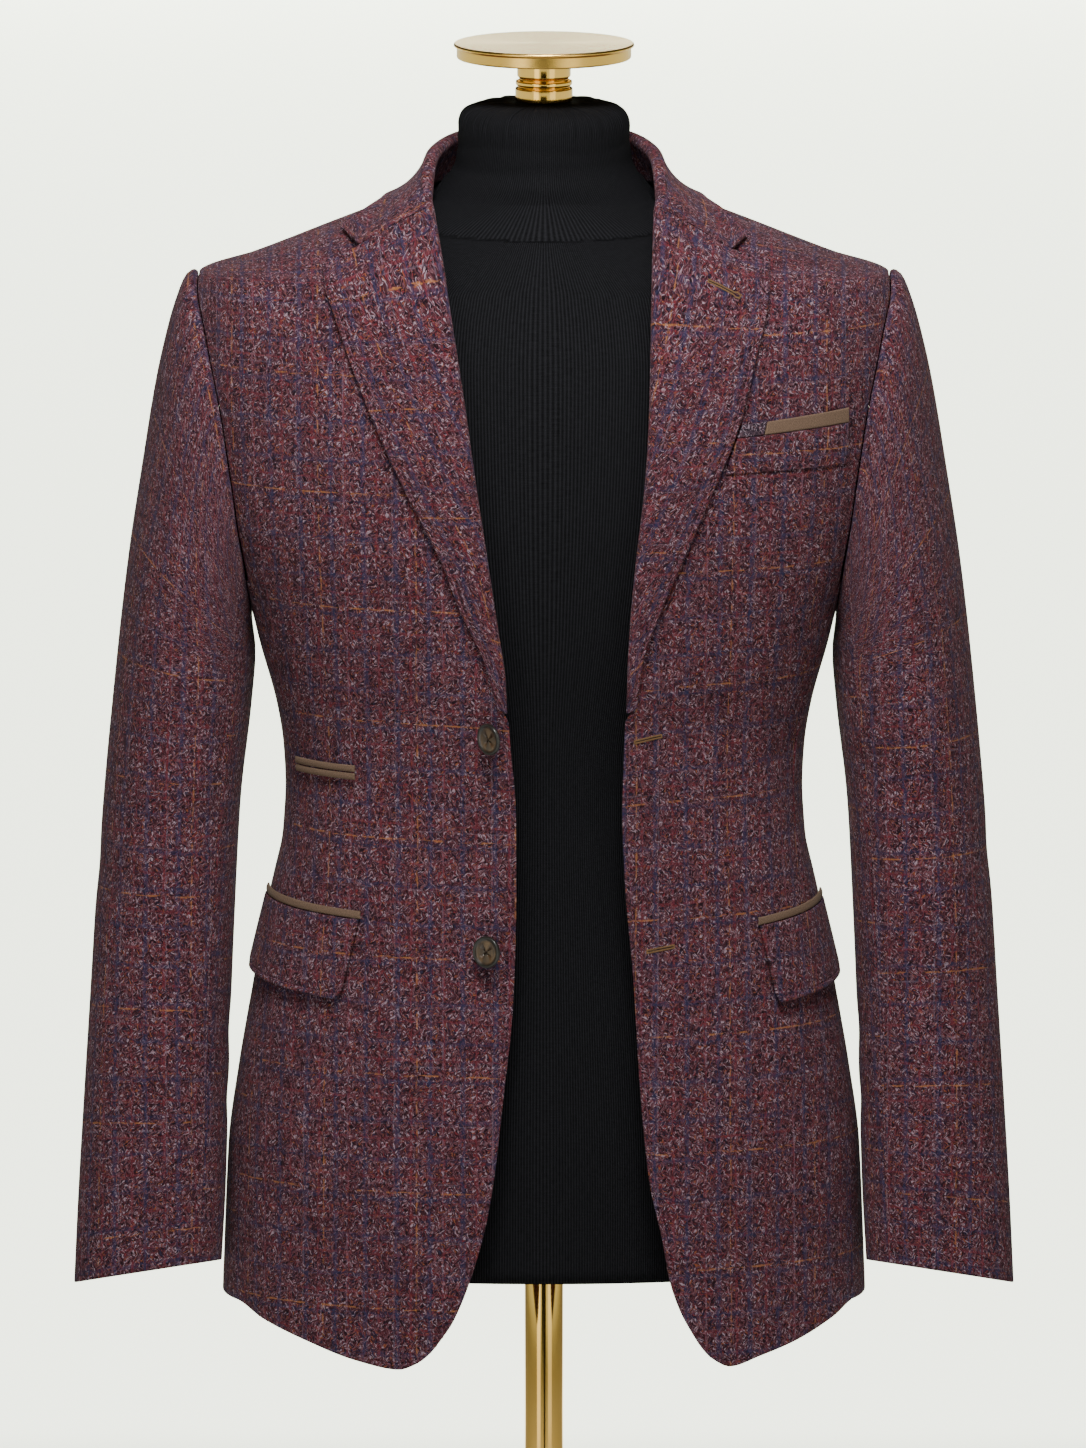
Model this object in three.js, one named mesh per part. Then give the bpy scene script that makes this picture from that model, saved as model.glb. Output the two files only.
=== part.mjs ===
// A single-breasted two-button tweed blazer, worn open on a limbless dress form that stands on a pole.
// Millimetres. +Z is up, the front faces -Y, and +X is the wearer's left.
// The origin is at the middle of the foot's underside.

import * as THREE from 'three';

const DEGREE = Math.PI / 180;
const RIGHT = -1; // the wearer's right, at negative X
const LEFT = 1;

// Driving dimensions
const CLOTH = 2.0; // tweed with its interlining
const SEAM = 0.36; // gap between two pieces that are sewn together
const ROLL_GAP = 1.7; // gap between a front's edge and the roll that hides it
const ROLL_FOOT_GAP = 3.2; // the same gap at the roll's lower end
const SLEEVE_GAP = 0.5; // gap between the armhole and the sleeve's head
const SLEEVE_SEAM_TURN = 0.35; // half the gap between the sleeve's halves, in degrees round it
const STAND_GAP = 0.3;
const LAPEL_CLOTH = 1.7;
const TRIM_CLOTH = 1.5;

const HEM = 320; // height of the hem at the side seams
const NECK = 1031; // height of the neck seam at the back
const SHOULDER = 977; // height of the shoulder point
const UNDERARM = 762; // lowest point of the armhole

const FORM_BOTTOM = 340;
const POLE_RADIUS = 12.4;
const FOOT_RADIUS = 150;
const FOOT_THICK = 12;
const FOOT_COLLAR = { radius: 24, height: 14 };
const FOOT_EDGE = { top: 3, bottom: 2 }; // bevels

// The blazer's outer surface as level rings: half width, depth to the front and to the back, squareness.
const RINGS = [
  { z: 270, half: 207, front: 130, back: 129, power: 2.2 },
  { z: 330, half: 206, front: 128, back: 128, power: 2.2 },
  { z: 415, half: 203, front: 124, back: 124, power: 2.2 },
  { z: 467, half: 196, front: 120, back: 120, power: 2.2 },
  { z: 518, half: 186.5, front: 116, back: 113, power: 2.2 },
  { z: 570, half: 177, front: 112, back: 103, power: 2.2 },
  { z: 622, half: 167, front: 109, back: 93, power: 2.2 },
  { z: 648, half: 165.2, front: 108, back: 90, power: 2.2 },
  { z: 674, half: 166.5, front: 109, back: 90, power: 2.2 },
  { z: 700, half: 170.6, front: 111, back: 93, power: 2.25 },
  { z: 740, half: 181.5, front: 116, back: 102, power: 2.35 },
  { z: 762, half: 187, front: 118, back: 107, power: 2.4 },
  { z: 790, half: 198, front: 120, back: 112, power: 2.4 },
  { z: 830, half: 212, front: 122, back: 118, power: 2.4 },
  { z: 880, half: 222, front: 120, back: 122, power: 2.4 },
  { z: 930, half: 226, front: 113, back: 118, power: 2.4 },
  { z: 960, half: 225, front: 105, back: 109, power: 2.35 },
  { z: 977, half: 220, front: 98, back: 101, power: 2.3 },
  { z: 987, half: 190, front: 92, back: 95, power: 2.3 },
  { z: 997, half: 164, front: 86, back: 89, power: 2.25 },
  { z: 1007, half: 139, front: 80, back: 84, power: 2.2 },
  { z: 1020, half: 105, front: 71, back: 77, power: 2.15 },
  { z: 1031, half: 76, front: 64, back: 72, power: 2.1 },
];

// How far inside the blazer's outer surface the dress form lies: all round, and further at its flanks.
const FORM_INSET = [
  { z: 340, all: 26, flank: 4 },
  { z: 430, all: 19, flank: 3 },
  { z: 500, all: 15, flank: 2 },
  { z: 570, all: 13, flank: 1 },
  { z: 648, all: 11, flank: 0 },
  { z: 700, all: 10, flank: 0 },
  { z: 762, all: 9, flank: 1 },
  { z: 790, all: 8.5, flank: 4 },
  { z: 830, all: 8.5, flank: 10 },
  { z: 880, all: 8.5, flank: 14 },
  { z: 930, all: 8.5, flank: 14 },
  { z: 960, all: 9, flank: 12 },
  { z: 977, all: 7.5, flank: 8 },
  { z: 987, all: 5.2, flank: 3 },
  { z: 997, all: 4, flank: 0 },
  { z: 1007, all: 4, flank: 0 },
  { z: 1020, all: 4.4, flank: 0 },
  { z: 1031, all: 4.8, flank: 0 },
];

// The form's neck, above the collar seam.
const FORM_NECK = [
  { z: 1037, half: 64, front: 60, back: 63 },
  { z: 1046, half: 58, front: 57.5, back: 59.5 },
  { z: 1060, half: 55, front: 56.5, back: 58 },
  { z: 1072, half: 54.5, front: 56, back: 57 },
  { z: 1078, half: 53, front: 54.5, back: 55.5 },
  { z: 1082.5, half: 49, front: 50, back: 51 },
  { z: 1085.3, half: 40, front: 41, back: 42 },
];
const FORM_TOP = 1087;

// The armhole on those rings: its half height, and how far it opens to the front and to the back, in degrees.
const ARMHOLE = {
  middle: (SHOULDER + UNDERARM) / 2,
  rise: (SHOULDER - UNDERARM) / 2,
  front: 26,
  back: 30,
};
const FRONT_SEAM = { hem: 72, joins: 142 }; // turn at the hem, and place round the armhole where it ends
const BACK_SEAM = { hem: 112, joins: 222 };
// Below each vent's top the back's edge goes under the side panel: its lap and the turns it fades over are
// in degrees, its drop and the height over which it sinks in millimetres.
const VENT = { top: 545, lap: 6, drop: 3.4, sinks: 8, fadesFrom: 111, fadesOver: 5 };

// Each front: its free edge below the roll, its hem, and its lapel from the roll's foot up to the gorge.
const FRONTS = {
  [RIGHT]: {
    name: 'right',
    edge: [
      { z: 306.8, x: 66.5 },
      { z: 319, x: 58.3 },
      { z: 343, x: 48.2 },
      { z: 383, x: 36.7 },
      { z: 410, x: 32 },
      { z: 461, x: 26 },
      { z: 527, x: 19.4 },
      { z: 592, x: 17.6 },
      { z: 646, x: 17.8 },
      { z: 690, x: 21.5 },
    ],
    hem: [
      { x: 66.5, z: 306.8 },
      { x: 73, z: 298.5 },
      { x: 81.5, z: 291.8 },
      { x: 93, z: 287.6 },
      { x: 120, z: 292 },
      { x: 151.4, z: 301.7 },
      { x: 180, z: 312 },
      { x: 197, z: HEM },
      { x: 210, z: HEM },
    ],
    lapel: [
      { share: 0, rollX: 22.8, rollZ: 712, edgeX: 30, edgeZ: 717, radius: 2.6 },
      { share: 0.1, rollX: 24, rollZ: 735, edgeX: 38, edgeZ: 747, radius: 3 },
      { share: 0.2, rollX: 28.5, rollZ: 765, edgeX: 52, edgeZ: 775, radius: 3.6 },
      { share: 0.33, rollX: 35.3, rollZ: 810, edgeX: 65.5, edgeZ: 810, radius: 4.4 },
      { share: 0.5, rollX: 42.5, rollZ: 857, edgeX: 89, edgeZ: 856, radius: 5 },
      { share: 0.64, rollX: 48.7, rollZ: 901, edgeX: 108, edgeZ: 897.5, radius: 5 },
      { share: 0.77, rollX: 54.6, rollZ: 939, edgeX: 122.7, edgeZ: 934.6, radius: 4.8 },
      { share: 0.86, rollX: 59, rollZ: 966, edgeX: 131.8, edgeZ: 960, radius: 4.4 },
      { share: 0.94, rollX: 64.5, rollZ: 1000, edgeX: 138, edgeZ: 977, radius: 4.2 },
      { share: 1, rollX: 69, rollZ: 1023, edgeX: 140, edgeZ: 988, radius: 4 },
    ],
    gorge: { notchX: 114.4, sag: 0.8, pointX: 127, pointZ: 1005.5 },
    flap: { frontX: 117, slant: 10, front: { top: 573.4, bottom: 521.5 }, side: { top: 578, bottom: 530 } },
  },
  [LEFT]: {
    name: 'left',
    edge: [
      { z: 308, x: 96.5 },
      { z: 325, x: 87.2 },
      { z: 345, x: 80.3 },
      { z: 371, x: 75.6 },
      { z: 410, x: 67.1 },
      { z: 470, x: 61 },
      { z: 537, x: 56.5 },
      { z: 601, x: 50.5 },
      { z: 646, x: 48.6 },
      { z: 690, x: 50.2 },
    ],
    hem: [
      { x: 96.5, z: 308 },
      { x: 101, z: 301 },
      { x: 107.4, z: 294 },
      { x: 119, z: 288.2 },
      { x: 138, z: 293.5 },
      { x: 161.7, z: 301 },
      { x: 185, z: 312 },
      { x: 199, z: HEM },
      { x: 210, z: HEM },
    ],
    lapel: [
      { share: 0, rollX: 51.2, rollZ: 712, edgeX: 58, edgeZ: 716, radius: 2.6 },
      { share: 0.1, rollX: 51.8, rollZ: 735, edgeX: 62, edgeZ: 745, radius: 3 },
      { share: 0.2, rollX: 53.6, rollZ: 765, edgeX: 71.5, edgeZ: 772, radius: 3.6 },
      { share: 0.33, rollX: 57.8, rollZ: 810, edgeX: 88.2, edgeZ: 810, radius: 4.4 },
      { share: 0.5, rollX: 63.2, rollZ: 855, edgeX: 108.5, edgeZ: 857, radius: 5 },
      { share: 0.64, rollX: 66, rollZ: 898, edgeX: 124, edgeZ: 896, radius: 5 },
      { share: 0.77, rollX: 67.1, rollZ: 938, edgeX: 134.5, edgeZ: 938, radius: 4.8 },
      { share: 0.86, rollX: 67.6, rollZ: 968, edgeX: 140, edgeZ: 960, radius: 4.4 },
      { share: 0.94, rollX: 68.4, rollZ: 1000, edgeX: 142.5, edgeZ: 978, radius: 4.2 },
      { share: 1, rollX: 69, rollZ: 1023, edgeX: 142, edgeZ: 991, radius: 4 },
    ],
    gorge: { notchX: 116.3, sag: 5, pointX: 128, pointZ: 1002 },
    flap: { frontX: 136.5, slant: 9.5, front: { top: 567.5, bottom: 517 }, side: { top: 575, bottom: 526 } },
  },
};
// The neck seam of both fronts, from the gorge (0) round to the shoulder (1).
const NECKLINE = [
  { share: 0, z: 1023 },
  { share: 0.3, z: 1027.5 },
  { share: 0.6, z: 1030.2 },
  { share: 1, z: NECK },
];

// An open front's edge swings forward, most at the height between its buttons.
const SWING = { lift: 12, height: 650, spread: 120, reach: 45 };

const HEM_REACH = 0.37; // share of a front's lower rows over which the hem's curve fades out
const GORGE_GAP = 0.65; // gap between the lapel and the collar

const LAPEL_EDGE_LIFT = 3.0;
const LAPEL_BELLY = { rise: 1.4, fullWidth: 60 };
const GORGE_SAGS_FROM = 0.8; // share of the lapel above which its rows sag with the gorge
const NOTCH_SHARE = 0.83; // share of the collar's end that follows the lapel

// The collar from the gorge (0) to the centre back (1): its fold, the neck seam, and its outer edge.
const COLLAR = [
  { share: 0, foldX: 70, foldY: -50, foldZ: 1028, seamTurn: 46, seamZ: 1023.6, turn: 61, z: 1005 },
  { share: 0.12, foldX: 73, foldY: -36, foldZ: 1037.5, seamTurn: 58, seamZ: 1027.8, turn: 69, z: 1010.5 },
  { share: 0.25, foldX: 73.5, foldY: -18, foldZ: 1047.5, seamTurn: 73, seamZ: 1030.4, turn: 80, z: 1016.5 },
  { share: 0.38, foldX: 71, foldY: 3, foldZ: 1054, seamTurn: 90, seamZ: NECK, turn: 92, z: 1021 },
  { share: 0.5, foldX: 64.5, foldY: 26, foldZ: 1057.5, seamTurn: 108, seamZ: NECK, turn: 108, z: 1021.5 },
  { share: 0.65, foldX: 52, foldY: 50, foldZ: 1060, seamTurn: 130, seamZ: NECK, turn: 130, z: 1021 },
  { share: 0.8, foldX: 29, foldY: 67.5, foldZ: 1061.5, seamTurn: 154, seamZ: NECK, turn: 154, z: 1020.5 },
  { share: 1, foldX: 0, foldY: 74, foldZ: 1062, seamTurn: 180, seamZ: NECK, turn: 180, z: 1020 },
];
const COLLAR_FOLD = 3; // outer radius of the fold
const COLLAR_EDGE_LIFT = 2.4;
const COLLAR_BEND = { out: 0.27, down: 0.74 }; // the leaf falls steeply from its fold, then flares
const COLLAR_CLOTH = 1.7;
const COLLAR_SEAM_LIFT = 0.6; // how far the stand starts above the neck seam

// A sleeve from the armhole to the cuff: its outermost and innermost points, its middle and half depth
// from front to back, and how much its front stands above its back.
const SLEEVE = [
  { run: 0, outX: 220, outZ: 977, inX: 187.4, inZ: 762, middle: 5, depth: 62, tilt: 0 },
  { run: 3, outX: 222.6, outZ: 978.6, inX: 187.4, inZ: 760, middle: 5, depth: 63.5, tilt: 0 },
  { run: 8, outX: 226.6, outZ: 977, inX: 187.3, inZ: 757.5, middle: 5, depth: 65.5, tilt: 0 },
  { run: 27, outX: 234.6, outZ: 960, inX: 186.8, inZ: 752.5, middle: 5, depth: 69, tilt: 0 },
  { run: 58, outX: 242.8, outZ: 930, inX: 186.2, inZ: 749, middle: 5, depth: 71.5, tilt: 0 },
  { run: 82, outX: 247.8, outZ: 906.5, inX: 185.6, inZ: 746, middle: 5, depth: 72.5, tilt: 0 },
  { run: 134, outX: 256.5, outZ: 855, inX: 184.9, inZ: 741, middle: 5, depth: 73, tilt: 0 },
  { run: 187, outX: 264.8, outZ: 803, inX: 184.3, inZ: 735, middle: 5, depth: 72, tilt: 0 },
  { run: 239, outX: 271.2, outZ: 751, inX: 184.3, inZ: 727, middle: 5, depth: 70, tilt: 0 },
  { run: 291, outX: 276.2, outZ: 699.5, inX: 187.5, inZ: 691, middle: 4, depth: 66.5, tilt: 0 },
  { run: 351, outX: 281.5, outZ: 640, inX: 193.5, inZ: 635, middle: 2, depth: 62, tilt: 0.02 },
  { run: 417, outX: 286.5, outZ: 575, inX: 197.3, inZ: 571, middle: -4, depth: 57, tilt: 0.06 },
  { run: 482, outX: 290.5, outZ: 510, inX: 200, inZ: 507, middle: -12, depth: 52, tilt: 0.1 },
  { run: 547, outX: 294.5, outZ: 445, inX: 201.8, inZ: 445, middle: -22, depth: 47, tilt: 0.13 },
  { run: 608, outX: 298, outZ: 385, inX: 203.4, inZ: 392, middle: -32, depth: 42, tilt: 0.16 },
  { run: 660, outX: 300.5, outZ: 330.5, inX: 206, inZ: 345, middle: -40.5, depth: 37.5, tilt: 0.18 },
];
const SLEEVE_SETTLES = 110; // run over which the armhole's shape turns into the tube's
const FOREARM_SEAM = 135; // places round the sleeve, from its outermost point towards the front
const HINDARM_SEAM = -78;

const SHARE_END = 0.02; // the shares this close to a panel's edge belong to the edge
const POCKET = {
  jetHeight: 5.3,
  jetGap: 0.4,
  farTurn: 88,
  corner: 7,
  length: 118, // along the pocket's mouth
  flapLift: { top: 2.7, bottom: 4 },
};
const JET = { lift: 0.9, crown: 0.5 }; // a jet's foot above the front, and the rise of its middle
const TICKET = { x: 119.3, farTurn: 69.3, bottom: 662.3, jet: 4.7, gap: 0.4 };
const WELT = {
  inner: { topX: 124.8, bottomX: 114.6, top: 894, bottom: 863 },
  outer: { x: 192.4, top: 900.7, bottom: 864.5 },
  trim: 8,
  trimFrom: 141.2,
  gap: 0.4,
  lift: 0.6,
  trimStep: 0.2, // how far the trim stands above the welt
};
const BUTTON = {
  radius: 10.4,
  thick: 3.4,
  rim: 1.8,
  bevel: 0.5,
  under: 2, // how much narrower its back is than its widest line
  dish: 1,
  shank: 2.4,
  rise: 5.2, // length of the shank
  foot: 0.6, // gap to the front
};
const BUTTONS = [
  { name: 'button_upper', x: 28, z: 696.3, lean: 24 },
  { name: 'button_lower', x: 31.5, z: 557.5, lean: 19 },
];

const CAP = {
  bottom: 1114.7,
  lip: 1122.6,
  top: 1124.6,
  radius: 57.5,
  band: 55.6,
  edge: 0.8, // bevel
};
const STEM = [
  { r: 18.3, z: 1087.4 },
  { r: 18.3, z: 1095.6 },
  { r: 16.6, z: 1096.8 },
  { r: 18, z: 1098 },
  { r: 18, z: 1100.4 },
  { r: 15.4, z: 1101.6 },
  { r: 17.1, z: 1103.4 },
  { r: 17.1, z: 1114.3 },
];

const COLOURS = {
  tweed: { color: 0x5a3d43, roughness: 0.95, metalness: 0 },
  navyTweed: { color: 0x3d3644, roughness: 0.95, metalness: 0 },
  trim: { color: 0x6b553b, roughness: 0.9, metalness: 0 },
  horn: { color: 0x4c3a28, roughness: 0.35, metalness: 0 },
  jersey: { color: 0x151517, roughness: 0.9, metalness: 0 },
  brass: { color: 0xc8a050, roughness: 0.2, metalness: 1 },
};
const materials = Object.fromEntries(
  Object.entries(COLOURS).map(([name, look]) => [name, new THREE.MeshStandardMaterial(look)]),
);

// Small helpers

const mix = (a, b, share) => a + (b - a) * share;
const smooth = (share) => {
  const s = Math.min(Math.max(share, 0), 1);
  return s * s * (3 - 2 * s);
};
const steps = (count) => Array.from({ length: count + 1 }, (_, i) => i / count);

// A smooth curve through a table's rows that never overshoots them (a monotone cubic).
function curveThrough(rows, from, to) {
  const x = rows.map((row) => row[from]);
  const y = rows.map((row) => row[to]);
  const last = x.length - 1;
  const slopes = x.slice(1).map((_, i) => (y[i + 1] - y[i]) / (x[i + 1] - x[i]));
  const tangents = x.map((_, i) => {
    if (i === 0) return slopes[0];
    if (i === last) return slopes[last - 1];
    const [a, b] = [slopes[i - 1], slopes[i]];
    return a * b <= 0 ? 0 : (2 * a * b) / (a + b);
  });
  return (at) => {
    const place = Math.min(Math.max(at, x[0]), x[last]);
    let i = 0;
    while (i < last - 1 && place > x[i + 1]) i += 1;
    const width = x[i + 1] - x[i];
    const t = (place - x[i]) / width;
    return (
      y[i] * (1 + 2 * t) * (1 - t) ** 2 +
      tangents[i] * width * t * (1 - t) ** 2 +
      y[i + 1] * t * t * (3 - 2 * t) +
      tangents[i + 1] * width * t * t * (t - 1)
    );
  };
}

// All the columns of a table as curves of its first column.
function curvesOf(rows, from) {
  const names = Object.keys(rows[0]).filter((name) => name !== from);
  return Object.fromEntries(names.map((name) => [name, curveThrough(rows, from, name)]));
}

const ring = curvesOf(RINGS, 'z');
const inset = curvesOf(FORM_INSET, 'z');
const tube = curvesOf(SLEEVE, 'run');
const collar = curvesOf(COLLAR, 'share');
const neckline = curvesOf(NECKLINE, 'share');

// The blazer's surface. A turn is counted in degrees from the centre front (0) to the centre back (180).

function squareEllipse(turn, z, half, front, back, power) {
  const side = Math.sin(turn * DEGREE);
  const ahead = Math.cos(turn * DEGREE);
  const depth = ahead > 0 ? front : back;
  const reach = 2 / power;
  return new THREE.Vector3(
    half * Math.sign(side) * Math.abs(side) ** reach,
    -depth * Math.sign(ahead) * Math.abs(ahead) ** reach,
    z,
  );
}

function ringPoint(turn, z) {
  return squareEllipse(turn, z, ring.half(z), ring.front(z), ring.back(z), ring.power(z));
}

function ringNormal(turn, z) {
  const [low, high] = [Math.max(z - 0.5, RINGS[0].z), Math.min(z + 0.5, NECK)];
  const across = ringPoint(turn + 0.4, z).sub(ringPoint(turn - 0.4, z));
  const up = ringPoint(turn, high).sub(ringPoint(turn, low));
  return across.cross(up).normalize();
}

function bodyPoint(turn, z, lift = 0) {
  return ringPoint(turn, z).addScaledVector(ringNormal(turn, z), lift);
}

// The turn at which the surface is x from the middle, on its front.
function turnAt(x, z) {
  const share = Math.min(x / ring.half(z), 1);
  return Math.asin(share ** (ring.power(z) / 2)) / DEGREE;
}

// The turn that lies a small distance round the ring from another one.
function turnBeside(turn, z, distance) {
  const speed = ringPoint(turn + 0.5, z).distanceTo(ringPoint(turn - 0.5, z));
  return turn + distance / speed;
}

// The turn whose point lies a small distance in front of (or behind) the shoulder's ridge.
function ridgeTurn(z, distance) {
  const depth = distance > 0 ? ring.front(z) : ring.back(z);
  const share = (Math.abs(distance) / depth) ** (ring.power(z) / 2);
  return 90 - Math.sign(distance) * (Math.asin(share) / DEGREE);
}

// A place round the armhole: 0 at the shoulder point, 90 at the front, 180 under the arm, 270 at the back.
function armhole(place) {
  const sideways = Math.sin(place * DEGREE);
  const open = sideways > 0 ? ARMHOLE.front : ARMHOLE.back;
  return {
    turn: 90 - open * sideways,
    z: ARMHOLE.middle + ARMHOLE.rise * Math.cos(place * DEGREE),
  };
}

// Each front's curves, on the side of positive X.
function cutFront(side) {
  const front = FRONTS[side];
  const lapel = curvesOf(front.lapel, 'share');
  const rolled = front.lapel.map((row) => {
    const [dx, dz] = [row.edgeX - row.rollX, row.edgeZ - row.rollZ];
    const gap = row.share === 0 ? ROLL_FOOT_GAP : ROLL_GAP;
    const step = (row.radius + gap) / Math.hypot(dx, dz);
    return { z: row.rollZ + dz * step, x: row.rollX + dx * step };
  });
  return {
    ...front,
    lapelCurves: lapel,
    edgeX: curveThrough([...front.edge, ...rolled], 'z', 'x'),
    hemZ: curveThrough(front.hem, 'x', 'z'),
    corner: front.edge[0],
  };
}
const fronts = { [RIGHT]: cutFront(RIGHT), [LEFT]: cutFront(LEFT) };

function swing(front, x, z) {
  const level = Math.exp(-(((z - SWING.height) / SWING.spread) ** 2));
  const near = Math.max(0, 1 - Math.max(0, x - front.edgeX(z)) / SWING.reach);
  return SWING.lift * level * near * near;
}

function onFront(front, x, z, lift) {
  return bodyPoint(turnAt(x, z), z, lift + swing(front, x, z));
}

function frontNormal(front, x, z) {
  const across = onFront(front, x + 1, z, 0).sub(onFront(front, x - 1, z, 0));
  const up = onFront(front, x, z + 1, 0).sub(onFront(front, x, z - 1, 0));
  return across.cross(up).normalize();
}

// A cloth wall. face(row, column) gives its outer face, and its inner face lies a thickness behind it.
function wall(face, rows, columns, thick) {
  const step = 1e-3;
  const clampTo = (list, value) => Math.min(Math.max(value, list[0]), list[list.length - 1]);
  const behind = (r, c) => {
    const along = face(clampTo(rows, r + step), c).sub(face(clampTo(rows, r - step), c));
    const across = face(r, clampTo(columns, c + step)).sub(face(r, clampTo(columns, c - step)));
    return face(r, c).addScaledVector(across.cross(along).normalize(), -thick);
  };
  const points = [];
  for (const layer of [face, behind]) {
    for (const r of rows) for (const c of columns) points.push(layer(r, c));
  }
  const [m, n] = [rows.length, columns.length];
  const outer = (i, j) => i * n + j;
  const inner = (i, j) => (m + i) * n + j;
  const faces = [];
  const quad = (a, b, c, d) => faces.push(a, b, c, a, c, d);
  for (let i = 0; i < m - 1; i += 1) {
    for (let j = 0; j < n - 1; j += 1) {
      quad(outer(i, j), outer(i, j + 1), outer(i + 1, j + 1), outer(i + 1, j));
      quad(inner(i, j), inner(i + 1, j), inner(i + 1, j + 1), inner(i, j + 1));
    }
    quad(outer(i, 0), outer(i + 1, 0), inner(i + 1, 0), inner(i, 0));
    quad(outer(i, n - 1), inner(i, n - 1), inner(i + 1, n - 1), outer(i + 1, n - 1));
  }
  for (let j = 0; j < n - 1; j += 1) {
    quad(outer(0, j), inner(0, j), inner(0, j + 1), outer(0, j + 1));
    quad(outer(m - 1, j), outer(m - 1, j + 1), inner(m - 1, j + 1), inner(m - 1, j));
  }
  return solid(points, faces);
}

// Points and triangles as a geometry whose faces point outwards.
function solid(points, faces) {
  let volume = 0;
  for (let i = 0; i < faces.length; i += 3) {
    const [a, b, c] = [points[faces[i]], points[faces[i + 1]], points[faces[i + 2]]];
    volume += a.dot(b.clone().cross(c));
  }
  const order = volume < 0 ? [0, 2, 1] : [0, 1, 2];
  const index = [];
  for (let i = 0; i < faces.length; i += 3) index.push(...order.map((k) => faces[i + k]));
  const geometry = new THREE.BufferGeometry();
  geometry.setAttribute('position', new THREE.Float32BufferAttribute(points.flatMap((p) => p.toArray()), 3));
  geometry.setIndex(index);
  geometry.computeVertexNormals();
  return geometry;
}

// The same solid on the wearer's side that is asked for.
function onSide(geometry, side) {
  if (side === LEFT) return geometry;
  geometry.scale(-1, 1, 1);
  const index = geometry.getIndex();
  for (let i = 0; i < index.count; i += 3) {
    const kept = index.getX(i + 1);
    index.setX(i + 1, index.getX(i + 2));
    index.setX(i + 2, kept);
  }
  return geometry;
}

const blazer = new THREE.Group();

function add(name, geometry, material) {
  const mesh = new THREE.Mesh(geometry, material);
  mesh.name = name;
  blazer.add(mesh);
}

// Fronts, side panels and backs. Row shares run from the hem (0) by the underarm (1) to the shoulder (2).

const LOWER_ROWS = [
  ...[0, 0.03, 0.08, 0.16, 0.26, 0.36, 0.455, 0.48, 0.495, 0.512],
  ...[0.56, 0.61, 0.66, 0.71, 0.76, 0.81, 0.86, 0.93, 1],
];
const FRONT_ROWS = [...LOWER_ROWS, 1.14, 1.28, 1.42, 1.56, 1.68, 1.78, 1.825, 1.87, 1.915, 1.96, 2];
const GORGE_ROW = 1.87; // where the front's edge leaves the roll and goes along the neck
const FRONT_COLUMNS = [0, 0.06, 0.14, 0.25, 0.4, 0.56, 0.72, 0.87, 1];

function frontFace(front) {
  const joint = armhole(FRONT_SEAM.joins);
  const gorge = NECKLINE[0];
  const gorgeTurn = turnAt(front.edgeX(gorge.z), gorge.z);
  const edgeAt = (row) => {
    if (row > GORGE_ROW) {
      const past = (row - GORGE_ROW) / (2 - GORGE_ROW);
      const z = neckline.z(past);
      return { turn: Math.min(mix(gorgeTurn, 90, past), ridgeTurn(z, SEAM / 2)), z };
    }
    const up = (row - 1) / (GORGE_ROW - 1);
    const z = row <= 1 ? mix(front.corner.z, joint.z, row) : mix(joint.z, gorge.z, up);
    return { turn: turnAt(front.edgeX(z), z), z };
  };
  const seamAt = (row) => {
    let seam = { z: mix(HEM, joint.z, row), turn: mix(FRONT_SEAM.hem, joint.turn, row) };
    if (row > 1) seam = armhole(mix(FRONT_SEAM.joins, 0, row - 1));
    seam.turn = Math.min(turnBeside(seam.turn, seam.z, -SEAM / 2), ridgeTurn(seam.z, SEAM / 2));
    return seam;
  };
  const ruled = (row, share) => {
    const [edge, seam] = [edgeAt(row), seamAt(row)];
    return { turn: mix(edge.turn, seam.turn, share), z: mix(edge.z, seam.z, share) };
  };
  return (row, share) => {
    const place = ruled(row, share);
    if (row < HEM_REACH) {
      const straight = ruled(0, share);
      const drop = front.hemZ(ringPoint(straight.turn, straight.z).x) - straight.z;
      place.z += drop * (1 - row / HEM_REACH) ** 2;
    }
    const { x } = ringPoint(place.turn, place.z);
    return bodyPoint(place.turn, place.z, swing(front, x, place.z));
  };
}

const SIDE_COLUMNS = [0, 0.26, 0.54, 0.8, 1];

// The side panel ends below the armhole's lowest stretch.
function sideFace(row, share) {
  const place = mix(FRONT_SEAM.joins, BACK_SEAM.joins, share);
  const top = armhole(place);
  const hemTurn = mix(FRONT_SEAM.hem, BACK_SEAM.hem, share);
  const z = mix(HEM, top.z, row);
  let turn = mix(hemTurn, top.turn, row);
  if (share < SHARE_END) turn = turnBeside(turn, z, SEAM / 2);
  if (share > 1 - SHARE_END) turn = turnBeside(turn, z, -SEAM / 2);
  return bodyPoint(turn, z);
}

const BACK_ROWS = [...LOWER_ROWS, 1.15, 1.3, 1.45, 1.6, 1.7, 1.78, 1.86, 1.93, 2];
const BACK_COLUMNS = [0, 0.05, 0.11, 0.26, 0.45, 0.64, 0.83, 1];
const NECK_SHARE = 1.7; // row share at which the centre back seam reaches the neck

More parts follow.
